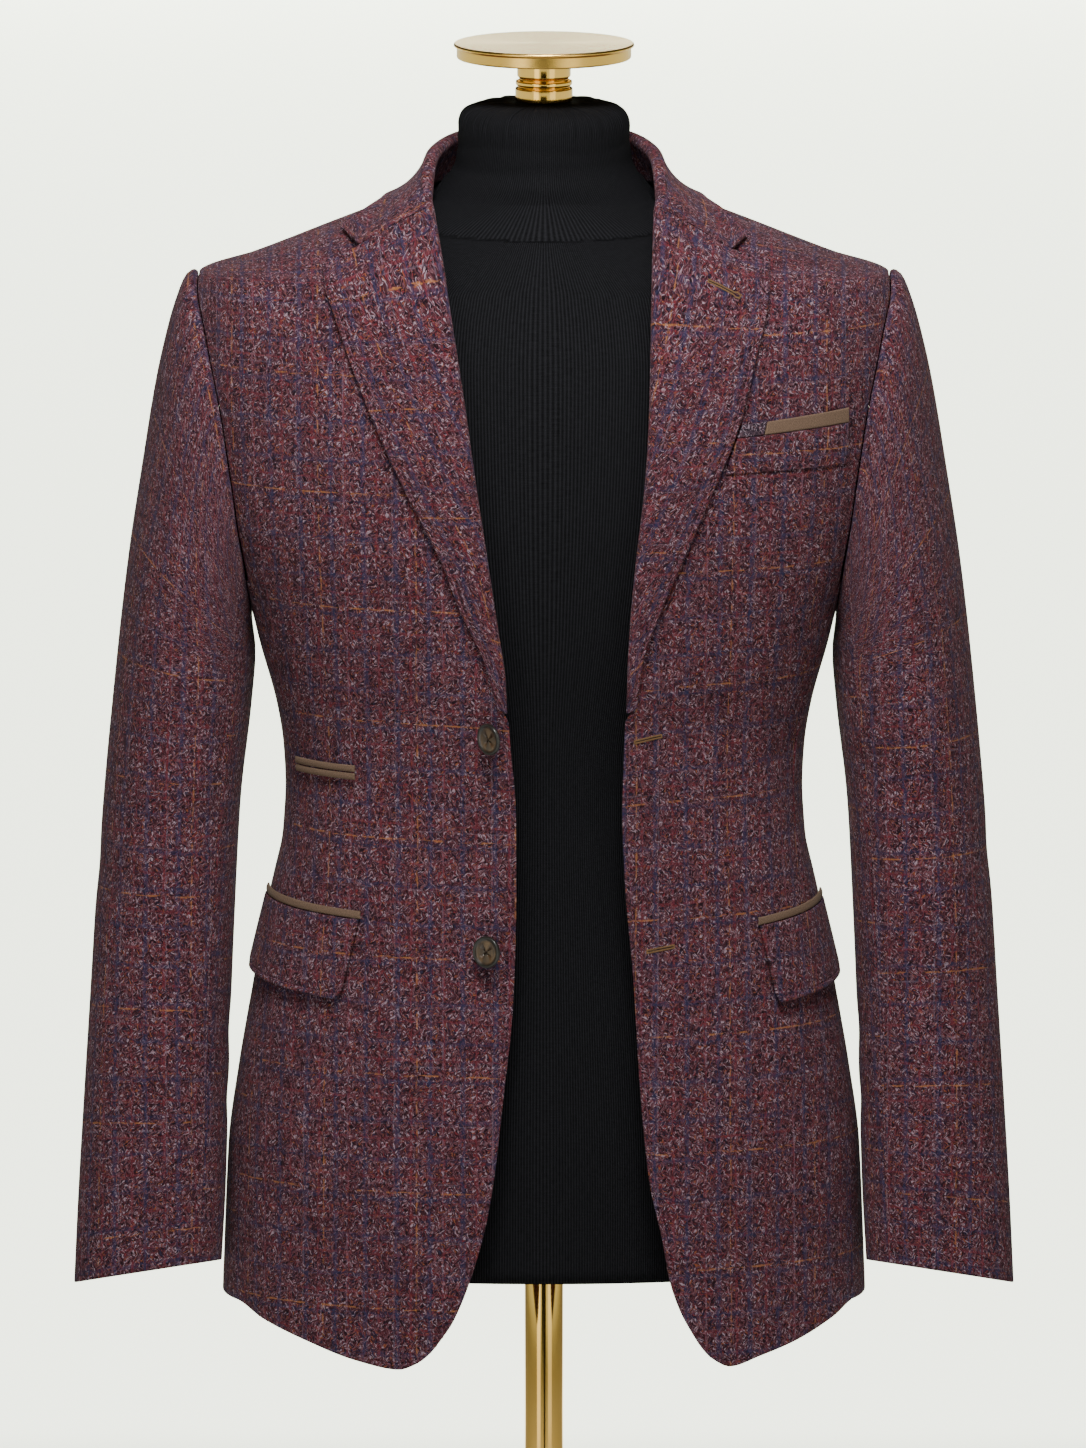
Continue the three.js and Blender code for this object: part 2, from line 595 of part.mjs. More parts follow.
function backFace(row, share) {
  const joint = armhole(BACK_SEAM.joins);
  let seam = { z: mix(HEM, joint.z, row), turn: mix(BACK_SEAM.hem, joint.turn, row) };
  if (row > 1) seam = armhole(mix(BACK_SEAM.joins, 360, row - 1));
  const inVent = smooth((VENT.top - seam.z) / VENT.sinks);
  const drop = smooth((VENT.top + 2 * VENT.sinks - seam.z) / VENT.sinks);
  seam.turn = Math.max(turnBeside(seam.turn, seam.z, SEAM / 2), ridgeTurn(seam.z, -SEAM / 2));
  seam.turn -= VENT.lap * inVent;
  const middle = { z: Math.min(mix(HEM, NECK, row / NECK_SHARE), NECK) };
  const past = Math.max(0, (row - NECK_SHARE) / (2 - NECK_SHARE));
  middle.turn = Math.max(mix(turnBeside(180, middle.z, -SEAM / 2), 90, past), ridgeTurn(middle.z, -SEAM / 2));
  const turn = mix(seam.turn, middle.turn, share);
  const z = mix(seam.z, middle.z, share);
  const under = 1 - smooth((turn - VENT.fadesFrom) / VENT.fadesOver);
  return bodyPoint(turn, z, row < 1 ? -VENT.drop * drop * under : 0);
}

// A lapel: half a turn round its roll, then the leaf out to its edge.

const LAPEL_ROWS = [0, 0.06, 0.13, 0.21, 0.3, 0.4, 0.5, 0.6, 0.7, 0.79, 0.87, 0.94, 0.97, 1];
const ROLL_SHARE = 0.4;
const LAPEL_COLUMNS = [0, 0.1, 0.2, 0.3, 0.4, 0.52, 0.66, 0.8, 0.9, 1];

// The lift of the rolled cloth, and how far it is from the roll's outermost line. It is the cloth's outer
// face, or a face that lies under it by some depth.
function rollSection(share, radius, width, under = 0) {
  if (share <= ROLL_SHARE) {
    const angle = mix(-90, 90, share / ROLL_SHARE) * DEGREE;
    const arc = radius - under;
    return { along: radius - arc * Math.cos(angle), lift: radius + arc * Math.sin(angle) - CLOTH };
  }
  const leaf = (share - ROLL_SHARE) / (1 - ROLL_SHARE);
  const crest = 2 * radius - CLOTH;
  const belly = LAPEL_BELLY.rise * Math.min(1, width / LAPEL_BELLY.fullWidth);
  return {
    along: mix(radius, width, leaf),
    lift: mix(crest, LAPEL_EDGE_LIFT, smooth(leaf)) + belly * Math.sin(Math.PI * leaf) ** 2 - under,
  };
}

function lapelFace(front) {
  const cut = front.lapelCurves;
  return (row, share) => {
    const [x, z] = [cut.rollX(row), cut.rollZ(row)];
    const [dx, dz] = [cut.edgeX(row) - x, cut.edgeZ(row) - z];
    const width = Math.hypot(dx, dz);
    const place = rollSection(share, cut.radius(row), width);
    const step = place.along / width;
    const low = gorgeSag(front, x + dx * step) * smooth((row - GORGE_SAGS_FROM) / (1 - GORGE_SAGS_FROM));
    return onFront(front, x + dx * step, z + dz * step - low, place.lift);
  };
}

// How far the gorge and the lapel's top edge lie below the straight line between their ends.
function gorgeSag(front, x) {
  const { notchX, sag } = front.gorge;
  const { rollX, edgeX } = front.lapel[front.lapel.length - 1];
  const share = x < notchX ? (x - rollX) / (notchX - rollX) : (edgeX - x) / (edgeX - notchX);
  return sag * Math.max(0, share);
}

// The collar, from the right gorge (-1) round the back (0) to the left gorge (1). Its face here is the
// inner one, and the cloth lies outside it.

const COLLAR_END = [1, 0.96, 0.91, 0.85, 0.77, 0.68, 0.59, 0.49, 0.38, 0.26, 0.13];
const COLLAR_ROWS = [...COLLAR_END.map((g) => -g), 0, ...[...COLLAR_END].reverse()];
const COLLAR_COLUMNS = [0, 0.12, 0.22, 0.27, 0.33, 0.4, 0.5, 0.61, 0.72, 0.83, 0.92, 1];
const STAND_SHARE = 0.22;
const COLLAR_END_REACH = 0.28; // share of each half over which the end's own shape fades out

// The collar's end lies level with the lapel along the gorge, then goes out to the collar's point.
function collarEnd(front, share) {
  const last = front.lapel[front.lapel.length - 1];
  const [dx, dz] = [last.edgeX - last.rollX, last.edgeZ - last.rollZ];
  const width = Math.hypot(dx, dz);
  const [ux, uz] = [dx / width, dz / width];
  const [startX, startZ] = [last.rollX - uz * GORGE_GAP, last.rollZ + ux * GORGE_GAP];
  const { notchX, pointX, pointZ } = front.gorge;
  const reach = (notchX - last.rollX) / (last.edgeX - last.rollX);
  const onGorge = Math.min(share, NOTCH_SHARE);
  const leaf = (onGorge - ROLL_SHARE) / (NOTCH_SHARE - ROLL_SHARE);
  const across = leaf < 0 ? onGorge : mix(ROLL_SHARE, 1, leaf * reach);
  const place = rollSection(across, last.radius, width, COLLAR_CLOTH);
  const x = startX + ux * place.along;
  const z = startZ + uz * place.along - gorgeSag(front, x);
  const past = Math.max(0, (share - NOTCH_SHARE) / (1 - NOTCH_SHARE));
  const lift = mix(place.lift, LAPEL_EDGE_LIFT - COLLAR_CLOTH, past);
  return onFront(front, mix(x, pointX, past), mix(z, pointZ, past), lift);
}

function collarRow(g, share) {
  const fold = new THREE.Vector3(collar.foldX(g), collar.foldY(g), collar.foldZ(g));
  const seam = ringPoint(collar.seamTurn(g), collar.seamZ(g));
  const out = ringNormal(collar.seamTurn(g), collar.seamZ(g)).setZ(0).normalize();
  seam.addScaledVector(out, -CLOTH);
  seam.z += COLLAR_SEAM_LIFT;
  const centre = fold.clone().setZ(fold.z - COLLAR_FOLD);
  const inside = centre.clone().addScaledVector(out, -COLLAR_FOLD);
  if (share <= STAND_SHARE) return seam.lerp(inside, share / STAND_SHARE);
  if (share <= ROLL_SHARE) {
    const angle = mix(180, 0, (share - STAND_SHARE) / (ROLL_SHARE - STAND_SHARE)) * DEGREE;
    centre.addScaledVector(out, COLLAR_FOLD * Math.cos(angle));
    centre.z += COLLAR_FOLD * Math.sin(angle);
    return centre;
  }
  const start = centre.addScaledVector(out, COLLAR_FOLD);
  const end = bodyPoint(collar.turn(g), collar.z(g), COLLAR_EDGE_LIFT);
  const bend = start.clone().lerp(end, COLLAR_BEND.out).setZ(mix(start.z, end.z, COLLAR_BEND.down));
  const leaf = (share - ROLL_SHARE) / (1 - ROLL_SHARE);
  return start.lerp(bend, leaf).lerp(bend.lerp(end, leaf), leaf);
}

function collarFace(g, share) {
  const side = g < 0 ? RIGHT : LEFT;
  const fromEnd = 1 - Math.abs(g);
  const atEnd = collarEnd(fronts[side], share).sub(collarRow(0, share));
  const point = collarRow(fromEnd, share).addScaledVector(atEnd, 1 - smooth(fromEnd / COLLAR_END_REACH));
  point.x *= side;
  return point;
}

// Sleeves

// A place round the sleeve: 0 outermost, 90 at the front, 180 innermost, 270 at the back.
function tubePoint(place, run) {
  const [outward, forward] = [Math.cos(place * DEGREE), Math.sin(place * DEGREE)];
  const [ox, oz, ix, iz] = [tube.outX(run), tube.outZ(run), tube.inX(run), tube.inZ(run)];
  return new THREE.Vector3(
    (ox + ix) / 2 + ((ox - ix) / 2) * outward,
    tube.middle(run) - tube.depth(run) * forward,
    (oz + iz) / 2 + ((oz - iz) / 2) * outward + tube.tilt(run) * tube.depth(run) * forward,
  );
}

function sleevePoint(place, run) {
  const point = tubePoint(place, run);
  const left = 1 - smooth(run / SLEEVE_SETTLES);
  if (left === 0) return point;
  const hole = armhole(place);
  const sewn = bodyPoint(hole.turn, hole.z);
  sewn.x += SLEEVE_GAP;
  return point.addScaledVector(sewn.sub(tubePoint(place, 0)), left);
}

const SLEEVE_RUNS = [0, 4, 9, 18, 32, 60, 100, 150, 200, 245, 300, 360, 430, 510, 590, 660];

function sleeveHalf(from, to, count) {
  const places = steps(count).map((share) => mix(from + SLEEVE_SEAM_TURN, to - SLEEVE_SEAM_TURN, share));
  return wall((run, place) => sleevePoint(place, run), SLEEVE_RUNS, places, CLOTH);
}

// Pockets

// A strip that lies on a front between two heights, from x at its front end round to a far turn.
function strip(front, spec, rows, columns, thick) {
  return wall(
    (row, share) => {
      const z = mix(spec.bottom(share), spec.top(share), row);
      const turn = mix(turnAt(spec.x(row), z), spec.farTurn(z), share);
      const x = ringPoint(turn, z).x;
      return bodyPoint(turn, z, spec.lift(row, share) + swing(front, x, z));
    },
    rows,
    columns,
    thick,
  );
}

function flap(front) {
  const { frontX, slant, front: near, side: far } = front.flap;
  const rounded = (share) => {
    const fromEnd = Math.min(share, 1 - share) * POCKET.length;
    return POCKET.corner * Math.max(0, 1 - fromEnd / POCKET.corner) ** 2;
  };
  return strip(
    front,
    {
      x: (row) => frontX + slant * (1 - row),
      farTurn: () => POCKET.farTurn,
      bottom: (share) => mix(near.bottom, far.bottom, share) + rounded(share),
      top: (share) => mix(near.top, far.top, share),
      lift: (row) => mix(POCKET.flapLift.bottom, POCKET.flapLift.top, row),
    },
    steps(4),
    [0, 0.025, 0.06, 0.2, 0.35, 0.5, 0.65, 0.8, 0.94, 0.975, 1],
    CLOTH,
  );
}

const jetLift = (row) => JET.lift + TRIM_CLOTH + JET.crown * Math.sin(Math.PI * row);

function flapJet(front) {
  const { frontX, front: near, side: far } = front.flap;
  const foot = (share) => mix(near.top, far.top, share) + POCKET.jetGap;
  return strip(
    front,
    {
      x: () => frontX - 1,
      farTurn: () => POCKET.farTurn,
      bottom: foot,
      top: (share) => foot(share) + POCKET.jetHeight,
      lift: jetLift,
    },
    steps(2),
    steps(10),
    TRIM_CLOTH,
  );
}

function ticketJet(front, floor) {
  return strip(
    front,
    {
      x: () => TICKET.x,
      farTurn: () => TICKET.farTurn,
      bottom: () => floor,
      top: () => floor + TICKET.jet,
      lift: jetLift,
    },
    steps(2),
    steps(6),
    TRIM_CLOTH,
  );
}

// The chest welt and the narrow facing along its top. Shares run from its inner end to its outer one.
function weltPart(front, from, to, low, high, lift, thick) {
  const { inner, outer } = WELT;
  return wall(
    (row, share) => {
      const place = mix(from, to, share);
      const level = mix(low, high, row);
      const z = mix(mix(inner.bottom, inner.top, level), mix(outer.bottom, outer.top, level), place);
      const x = mix(mix(inner.bottomX, inner.topX, level), outer.x, place);
      return onFront(front, x, z, lift);
    },
    steps(2),
    steps(to - from > 0.5 ? 8 : 3),
    thick,
  );
}

// Buttons

function buttonSolid() {
  const { radius, thick, rim, bevel, under, dish, shank, rise } = BUTTON;
  const profile = [
    [0, 0],
    [shank, 0],
    [shank, rise],
    [radius - under, rise],
    [radius, rise + thick / 2],
    [radius - bevel, rise + thick],
    [radius - rim, rise + thick],
    [radius - rim - dish, rise + thick - dish],
    [0, rise + thick - dish],
  ].map(([r, z]) => new THREE.Vector2(r, z));
  return new THREE.LatheGeometry(profile, 16);
}

function addButton(front, spec) {
  const geometry = buttonSolid();
  const out = frontNormal(front, spec.x, spec.z);
  const foot = onFront(front, spec.x, spec.z, 0).addScaledVector(out, BUTTON.foot);
  out.applyAxisAngle(new THREE.Vector3(0, 0, 1), spec.lean * DEGREE);
  foot.addScaledVector(out, BUTTON.shank * Math.sin(spec.lean * DEGREE));
  geometry.applyQuaternion(new THREE.Quaternion().setFromUnitVectors(new THREE.Vector3(0, 1, 0), out));
  geometry.translate(foot.x, foot.y, foot.z);
  add(spec.name, onSide(geometry, RIGHT), materials.horn);
}

// The dress form and its stand

const FORM_TURNS = 30;
const FORM_ROWS = [340, 430, 520, 570, 610, 648, 690, 730, 770, 820, 870, 910, 945, 968];
const FORM_SHOULDER_ROWS = [979, 987, 993, 1000, 1007, 1014, 1022, 1031];

function formPoint(turn, z) {
  const flank = Math.abs(Math.sin(turn * DEGREE)) ** 6;
  return bodyPoint(turn, z, -inset.all(z) - inset.flank(z) * flank);
}

function dressForm() {
  const turns = Array.from({ length: FORM_TURNS }, (_, i) => (i * 360) / FORM_TURNS);
  const points = [];
  for (const z of [...FORM_ROWS, ...FORM_SHOULDER_ROWS]) {
    for (const turn of turns) {
      const folded = turn <= 180 ? turn : 360 - turn;
      const point = formPoint(folded, z);
      if (turn > 180) point.x *= -1;
      if (z === FORM_BOTTOM) point.z = FORM_BOTTOM;
      points.push(point);
    }
  }
  for (const row of FORM_NECK) {
    for (const turn of turns) points.push(squareEllipse(turn, row.z, row.half, row.front, row.back, 2));
  }
  const rows = points.length / FORM_TURNS;
  const bottom = points.push(new THREE.Vector3(0, 0, FORM_BOTTOM)) - 1;
  const top = points.push(new THREE.Vector3(0, 0, FORM_TOP)) - 1;
  const faces = [];
  for (let i = 0; i < FORM_TURNS; i += 1) {
    const next = (i + 1) % FORM_TURNS;
    faces.push(bottom, next, i);
    faces.push(top, (rows - 1) * FORM_TURNS + i, (rows - 1) * FORM_TURNS + next);
    for (let row = 0; row < rows - 1; row += 1) {
      const [a, b] = [row * FORM_TURNS + i, row * FORM_TURNS + next];
      const [c, d] = [a + FORM_TURNS, b + FORM_TURNS];
      faces.push(a, b, d, a, d, c);
    }
  }
  return solid(points, faces);
}

// A turned piece that stands on +Z. Its profile lists radius and height from the axis and back to it.
function turned(profile, segments) {
  const geometry = new THREE.LatheGeometry(profile.map(([r, z]) => new THREE.Vector2(r, z)), segments);
  geometry.rotateX(90 * DEGREE);
  return geometry;
}

function addStand() {
  const footTop = FOOT_THICK + FOOT_COLLAR.height;
  const foot = [
    [0, 0],
    [FOOT_RADIUS - FOOT_EDGE.bottom, 0],
    [FOOT_RADIUS, FOOT_EDGE.bottom],
    [FOOT_RADIUS, FOOT_THICK - FOOT_EDGE.top],
    [FOOT_RADIUS - FOOT_EDGE.top, FOOT_THICK],
    [FOOT_COLLAR.radius, FOOT_THICK],
    [FOOT_COLLAR.radius, footTop - FOOT_EDGE.bottom],
    [FOOT_COLLAR.radius - FOOT_EDGE.bottom, footTop],
    [0, footTop],
  ];
  const pole = [
    [0, footTop + STAND_GAP],
    [POLE_RADIUS, footTop + STAND_GAP],
    [POLE_RADIUS, FORM_BOTTOM - STAND_GAP],
    [0, FORM_BOTTOM - STAND_GAP],
  ];
  const stem = [[0, STEM[0].z], ...STEM.map(({ r, z }) => [r, z]), [0, STEM[STEM.length - 1].z]];
  const disc = [
    [0, CAP.bottom],
    [CAP.band - CAP.edge, CAP.bottom],
    [CAP.band, CAP.bottom + CAP.edge],
    [CAP.band, CAP.lip - CAP.edge],
    [CAP.radius, CAP.lip],
    [CAP.radius, CAP.top - CAP.edge],
    [CAP.radius - CAP.edge, CAP.top],
    [0, CAP.top],
  ];
  add('foot', turned(foot, 40), materials.brass);
  add('pole', turned(pole, 20), materials.brass);
  add('cap_stem', turned(stem, 20), materials.brass);
  add('cap_disc', turned(disc, 32), materials.brass);
}

// Assembly

add('form_body', dressForm(), materials.jersey);
addStand();

for (const side of [RIGHT, LEFT]) {
  const front = fronts[side];
  const name = (piece) => `${piece}_${front.name}`;
  add(name('front'), onSide(wall(frontFace(front), FRONT_ROWS, FRONT_COLUMNS, CLOTH), side), materials.tweed);
  add(name('side'), onSide(wall(sideFace, LOWER_ROWS, SIDE_COLUMNS, CLOTH), side), materials.tweed);
  add(name('back'), onSide(wall(backFace, BACK_ROWS, BACK_COLUMNS, CLOTH), side), materials.tweed);
  add(name('sleeve_top'), onSide(sleeveHalf(HINDARM_SEAM, FOREARM_SEAM, 12), side), materials.tweed);
  add(name('sleeve_under'), onSide(sleeveHalf(FOREARM_SEAM, HINDARM_SEAM + 360, 8), side), materials.tweed);
  const lapel = wall(lapelFace(front), LAPEL_ROWS, LAPEL_COLUMNS, LAPEL_CLOTH);
  add(name('lapel'), onSide(lapel, side), materials.tweed);
  add(name('flap'), onSide(flap(front), side), materials.tweed);
  add(name('flap_jet'), onSide(flapJet(front), side), materials.trim);
}
add('collar', wall(collarFace, COLLAR_ROWS, COLLAR_COLUMNS, COLLAR_CLOTH), materials.tweed);

const rightFront = fronts[RIGHT];
const upperJet = TICKET.bottom + TICKET.jet + TICKET.gap;
add('ticket_jet_upper', onSide(ticketJet(rightFront, upperJet), RIGHT), materials.trim);
add('ticket_jet_lower', onSide(ticketJet(rightFront, TICKET.bottom), RIGHT), materials.trim);
for (const spec of BUTTONS) addButton(rightFront, spec);

const leftFront = fronts[LEFT];
const weltHeight = WELT.inner.top - WELT.inner.bottom;
const facing = 1 - WELT.trim / weltHeight;
const split = (WELT.trimFrom - WELT.inner.topX) / (WELT.outer.x - WELT.inner.topX);
const slit = WELT.gap / weltHeight;
const endGap = WELT.gap / (WELT.outer.x - WELT.inner.topX);
const weltLift = WELT.lift + CLOTH;
add('chest_welt', weltPart(leftFront, 0, 1, 0, facing - slit, weltLift, CLOTH), materials.tweed);
add('welt_end', weltPart(leftFront, 0, split - endGap, facing, 1, weltLift, CLOTH), materials.navyTweed);
add('welt_trim', weltPart(leftFront, split, 1, facing, 1, weltLift + WELT.trimStep, CLOTH), materials.trim);

export default blazer;
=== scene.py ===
# %% [markdown]
# # A tweed blazer on a dress form
# This lesson dresses a plain solid model in Blender. The solids already have the true size and place of
# every piece, so each fine piece here is worked out from the same sizes and stands exactly over its solid.
# Lengths are written in millimetres, as a cutter writes them, and become metres when a mesh is made.

# %% Load the solid model, with a helper that measures the box
import math

import bpy
import numpy as np
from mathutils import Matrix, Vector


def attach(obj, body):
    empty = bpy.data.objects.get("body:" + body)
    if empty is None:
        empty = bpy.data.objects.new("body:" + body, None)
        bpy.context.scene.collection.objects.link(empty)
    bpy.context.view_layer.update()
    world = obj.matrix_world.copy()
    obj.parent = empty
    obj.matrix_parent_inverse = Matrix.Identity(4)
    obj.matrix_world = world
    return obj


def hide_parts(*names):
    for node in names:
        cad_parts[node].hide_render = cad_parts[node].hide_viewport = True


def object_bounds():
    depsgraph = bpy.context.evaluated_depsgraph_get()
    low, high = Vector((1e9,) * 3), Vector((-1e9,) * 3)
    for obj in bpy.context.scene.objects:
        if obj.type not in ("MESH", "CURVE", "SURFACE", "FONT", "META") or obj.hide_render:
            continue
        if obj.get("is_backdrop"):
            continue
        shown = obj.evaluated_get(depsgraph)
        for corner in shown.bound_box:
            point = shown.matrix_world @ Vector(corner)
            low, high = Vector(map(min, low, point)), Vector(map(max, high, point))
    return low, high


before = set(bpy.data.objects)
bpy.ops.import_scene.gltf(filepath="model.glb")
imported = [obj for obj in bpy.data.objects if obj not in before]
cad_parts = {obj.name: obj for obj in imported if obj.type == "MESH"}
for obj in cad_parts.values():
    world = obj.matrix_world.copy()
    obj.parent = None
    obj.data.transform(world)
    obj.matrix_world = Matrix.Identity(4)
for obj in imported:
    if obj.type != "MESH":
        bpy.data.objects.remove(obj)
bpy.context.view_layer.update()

# %% [markdown]
# ## Curves through short tables
# A garment's shape is written as a few rows of sizes. A monotone cubic runs through the rows without
# overshooting them, so that a waist of 165 mm never comes out narrower than 165 mm.

# %% Tables and smooth curves
MM = 0.001
DEGREE = math.pi / 180
RIGHT, LEFT = -1, 1


def mix(a, b, share):
    return a + (b - a) * share


def smooth(share):
    s = np.clip(share, 0, 1)
    return s * s * (3 - 2 * s)


def table(columns, rows):
    return {name: np.array([row[k] for row in rows], float) for k, name in enumerate(columns.split())}


def curve_through(x, y):
    slopes = np.diff(y) / np.diff(x)
    tangents = np.concatenate([slopes[:1], slopes[1:], slopes[-1:]])
    before, after = slopes[:-1], slopes[1:]
    both = np.where(before + after == 0, 1, before + after)
    tangents[1:-1] = np.where(before * after <= 0, 0, 2 * before * after / both)

    def at(place):
        place = np.clip(place, x[0], x[-1])
        i = np.clip(np.searchsorted(x, place, side="left") - 1, 0, len(x) - 2)
        width = x[i + 1] - x[i]
        t = (place - x[i]) / width
        return (
            y[i] * (1 + 2 * t) * (1 - t) ** 2
            + tangents[i] * width * t * (1 - t) ** 2
            + y[i + 1] * t * t * (3 - 2 * t)
            + tangents[i + 1] * width * t * t * (t - 1)
        )

    return at


def curves_of(columns, rows):
    data = table(columns, rows)
    first = columns.split()[0]
    return {name: curve_through(data[first], y) for name, y in data.items() if name != first}


# %% [markdown]
# ## The blazer's surface
# The outer surface is a stack of level rings, each a squared ellipse. A point on it is named by its turn,
# in degrees from the centre front round to the centre back, and its height. Every panel is cut out of
# this one surface, which is why the seams meet.

# %% The rings and points on them
CLOTH, SEAM = 2.0, 0.06
HEM, NECK, SHOULDER, UNDERARM = 320, 1031, 977, 762
ARMHOLE_AHEAD, ARMHOLE_BEHIND = 26, 30

ring = curves_of("z half front back power", [
    (270, 207, 130, 129, 2.2), (330, 206, 128, 128, 2.2), (415, 203, 124, 124, 2.2),
    (467, 196, 120, 120, 2.2), (518, 186.5, 116, 113, 2.2), (570, 177, 112, 103, 2.2),
    (622, 167, 109, 93, 2.2), (648, 165.2, 108, 90, 2.2), (674, 166.5, 109, 90, 2.2),
    (700, 170.6, 111, 93, 2.25), (740, 181.5, 116, 102, 2.35), (762, 187, 118, 107, 2.4),
    (790, 198, 120, 112, 2.4), (830, 212, 122, 118, 2.4), (880, 222, 120, 122, 2.4),
    (930, 226, 113, 118, 2.4), (960, 225, 105, 109, 2.35), (977, 220, 98, 101, 2.3),
    (987, 190, 92, 95, 2.3), (997, 164, 86, 89, 2.25), (1007, 139, 80, 84, 2.2),
    (1020, 105, 71, 77, 2.15), (1031, 76, 64, 72, 2.1),
])
LOWEST_RING = 270


def square_ellipse(turn, z, half, front, back, power):
    side, ahead = np.sin(turn * DEGREE), np.cos(turn * DEGREE)
    depth = np.where(ahead > 0, front, back)
    reach = 2 / power
    x = half * np.sign(side) * np.abs(side) ** reach
    y = -depth * np.sign(ahead) * np.abs(ahead) ** reach
    return np.stack(np.broadcast_arrays(x, y, z * 1.0), axis=-1)


def ring_point(turn, z):
    turn, z = np.broadcast_arrays(np.asarray(turn, float), np.asarray(z, float))
    return square_ellipse(turn, z, ring["half"](z), ring["front"](z), ring["back"](z), ring["power"](z))


def unit(vectors):
    return vectors / np.maximum(np.linalg.norm(vectors, axis=-1, keepdims=True), 1e-12)


def ring_normal(turn, z):
    z = np.asarray(z, float)
    low, high = np.maximum(z - 0.5, LOWEST_RING), np.minimum(z + 0.5, NECK)
    across = ring_point(turn + 0.4, z) - ring_point(turn - 0.4, z)
    up = ring_point(turn, high) - ring_point(turn, low)
    return unit(np.cross(across, up))


def body_point(turn, z, lift=0.0):
    return ring_point(turn, z) + ring_normal(turn, z) * np.asarray(lift, float)[..., None]


def turn_at(x, z):
    share = np.clip(x / ring["half"](z), 0, 1)
    return np.arcsin(share ** (ring["power"](z) / 2)) / DEGREE


def turn_beside(turn, z, distance):
    speed = np.linalg.norm(ring_point(turn + 0.5, z) - ring_point(turn - 0.5, z), axis=-1)
    return turn + distance / speed


def ridge_turn(z, distance):
    depth = ring["front"](z) if distance > 0 else ring["back"](z)
    share = (abs(distance) / depth) ** (ring["power"](z) / 2)
    return 90 - math.copysign(1, distance) * np.arcsin(share) / DEGREE


def armhole(place):
    sideways = np.sin(place * DEGREE)
    open_by = np.where(sideways > 0, ARMHOLE_AHEAD, ARMHOLE_BEHIND)
    middle, rise = (SHOULDER + UNDERARM) / 2, (SHOULDER - UNDERARM) / 2
    return 90 - open_by * sideways, middle + rise * np.cos(place * DEGREE)


print("chest half width", round(float(ring["half"](880)), 1), "waist", round(float(ring["half"](648)), 1))

# %% [markdown]
# ## Cloth coordinates
# A weave has to follow the cloth, not the room. Each panel gets a UV map named cloth, in metres, measured
# along the surface: across from the centre front or centre back, and up along the panel. The pattern
# then keeps its true size and meets at the seams as it does when a tailor matches a check.

# %% Distances along the surface
Z_STEP, TURN_STEP = 3.0, 1.5
GRID_Z = np.arange(LOWEST_RING, NECK + 1e-6, Z_STEP)
GRID_TURN = np.arange(0, 180.01, TURN_STEP)
surface_grid = ring_point(GRID_TURN[None, :], GRID_Z[:, None])
around = np.zeros(surface_grid.shape[:2])
around[:, 1:] = np.cumsum(np.linalg.norm(np.diff(surface_grid, axis=1), axis=-1), axis=1)
from_back = around[:, -1:] - around


def climb(distance_across):
    step = np.linalg.norm(np.diff(surface_grid, axis=0), axis=-1)
    rise = np.sqrt(np.maximum(step**2 - np.diff(distance_across, axis=0) ** 2, 0.2))
    total = np.zeros(distance_across.shape)
    total[1:] = np.cumsum(rise, axis=0)
    return total


climb_front, climb_back = climb(around), climb(from_back)


def read_grid(grid, row, column):
    """Reads a grid between its points, at a row and a column with fractions."""
    row = np.clip(row, 0, grid.shape[0] - 1.001)
    column = np.clip(column, 0, grid.shape[1] - 1.001)
    i, j = row.astype(int), column.astype(int)
    p, q = row - i, column - j
    near = grid[i, j] * (1 - q) + grid[i, j + 1] * q
    far = grid[i + 1, j] * (1 - q) + grid[i + 1, j + 1] * q
    return near * (1 - p) + far * p


def look_up(grid, turn, z):
    return read_grid(grid, (z - GRID_Z[0]) / Z_STEP, turn / TURN_STEP)


# Above the chest the rings close in over the shoulders, so there the cloth is measured at a constant
# distance from the middle instead: straight up, and over towards the shoulder seam.
CHEST, UP_Z_STEP, UP_X_STEP = 900, 0.25, 2.0
UP_Z, UP_X = np.arange(CHEST, NECK + 0.01, UP_Z_STEP), np.arange(0, 229, UP_X_STEP)
up_x, up_z = np.meshgrid(UP_X, UP_Z)


def over_shoulder(turns):
    step = np.linalg.norm(np.diff(ring_point(turns, up_z), axis=0), axis=-1)
    total = np.zeros(up_z.shape)
    total[1:] = np.cumsum(step, axis=0)
    return total


over_front, over_back = over_shoulder(turn_at(up_x, up_z)), over_shoulder(180 - turn_at(up_x, up_z))


def cloth_on_rings(turn, z, across, climbed, over, behind):
    low = np.minimum(z, CHEST)
    x = np.abs(ring_point(turn, z)[..., 0])
    above = turn_at(x, CHEST)
    turn_below = np.where(z > CHEST, 180 - above if behind else above, turn)
    rise = read_grid(over, (z - CHEST) / UP_Z_STEP, x / UP_X_STEP)
    return np.stack([look_up(across, turn_below, low), look_up(climbed, turn_below, low) + rise], axis=-1)


def front_cloth(turn, z):
    return cloth_on_rings(turn, z, around, climb_front, over_front, False)


def back_cloth(turn, z):
    return cloth_on_rings(turn, z, from_back, climb_back, over_back, True)


def own_cloth(points, column):
    """Cloth coordinates measured on the piece itself, up one of its columns and across from it."""
    across = np.zeros(points.shape[:2])
    across[:, 1:] = np.cumsum(np.linalg.norm(np.diff(points, axis=1), axis=-1), axis=1)
    up = np.zeros(points.shape[:2])
    up[1:] = np.cumsum(np.linalg.norm(np.diff(points, axis=0), axis=-1), axis=0)
    return np.stack([across - across[:, [column]], np.broadcast_to(up[:, [column]], up.shape)], axis=-1)


# %% [markdown]
# ## The fronts
# Each front has its own free edge, hem curve, lapel and gorge, because the wearer's right side laps a
# little further over than the left. The edge swings forward where the blazer hangs open.

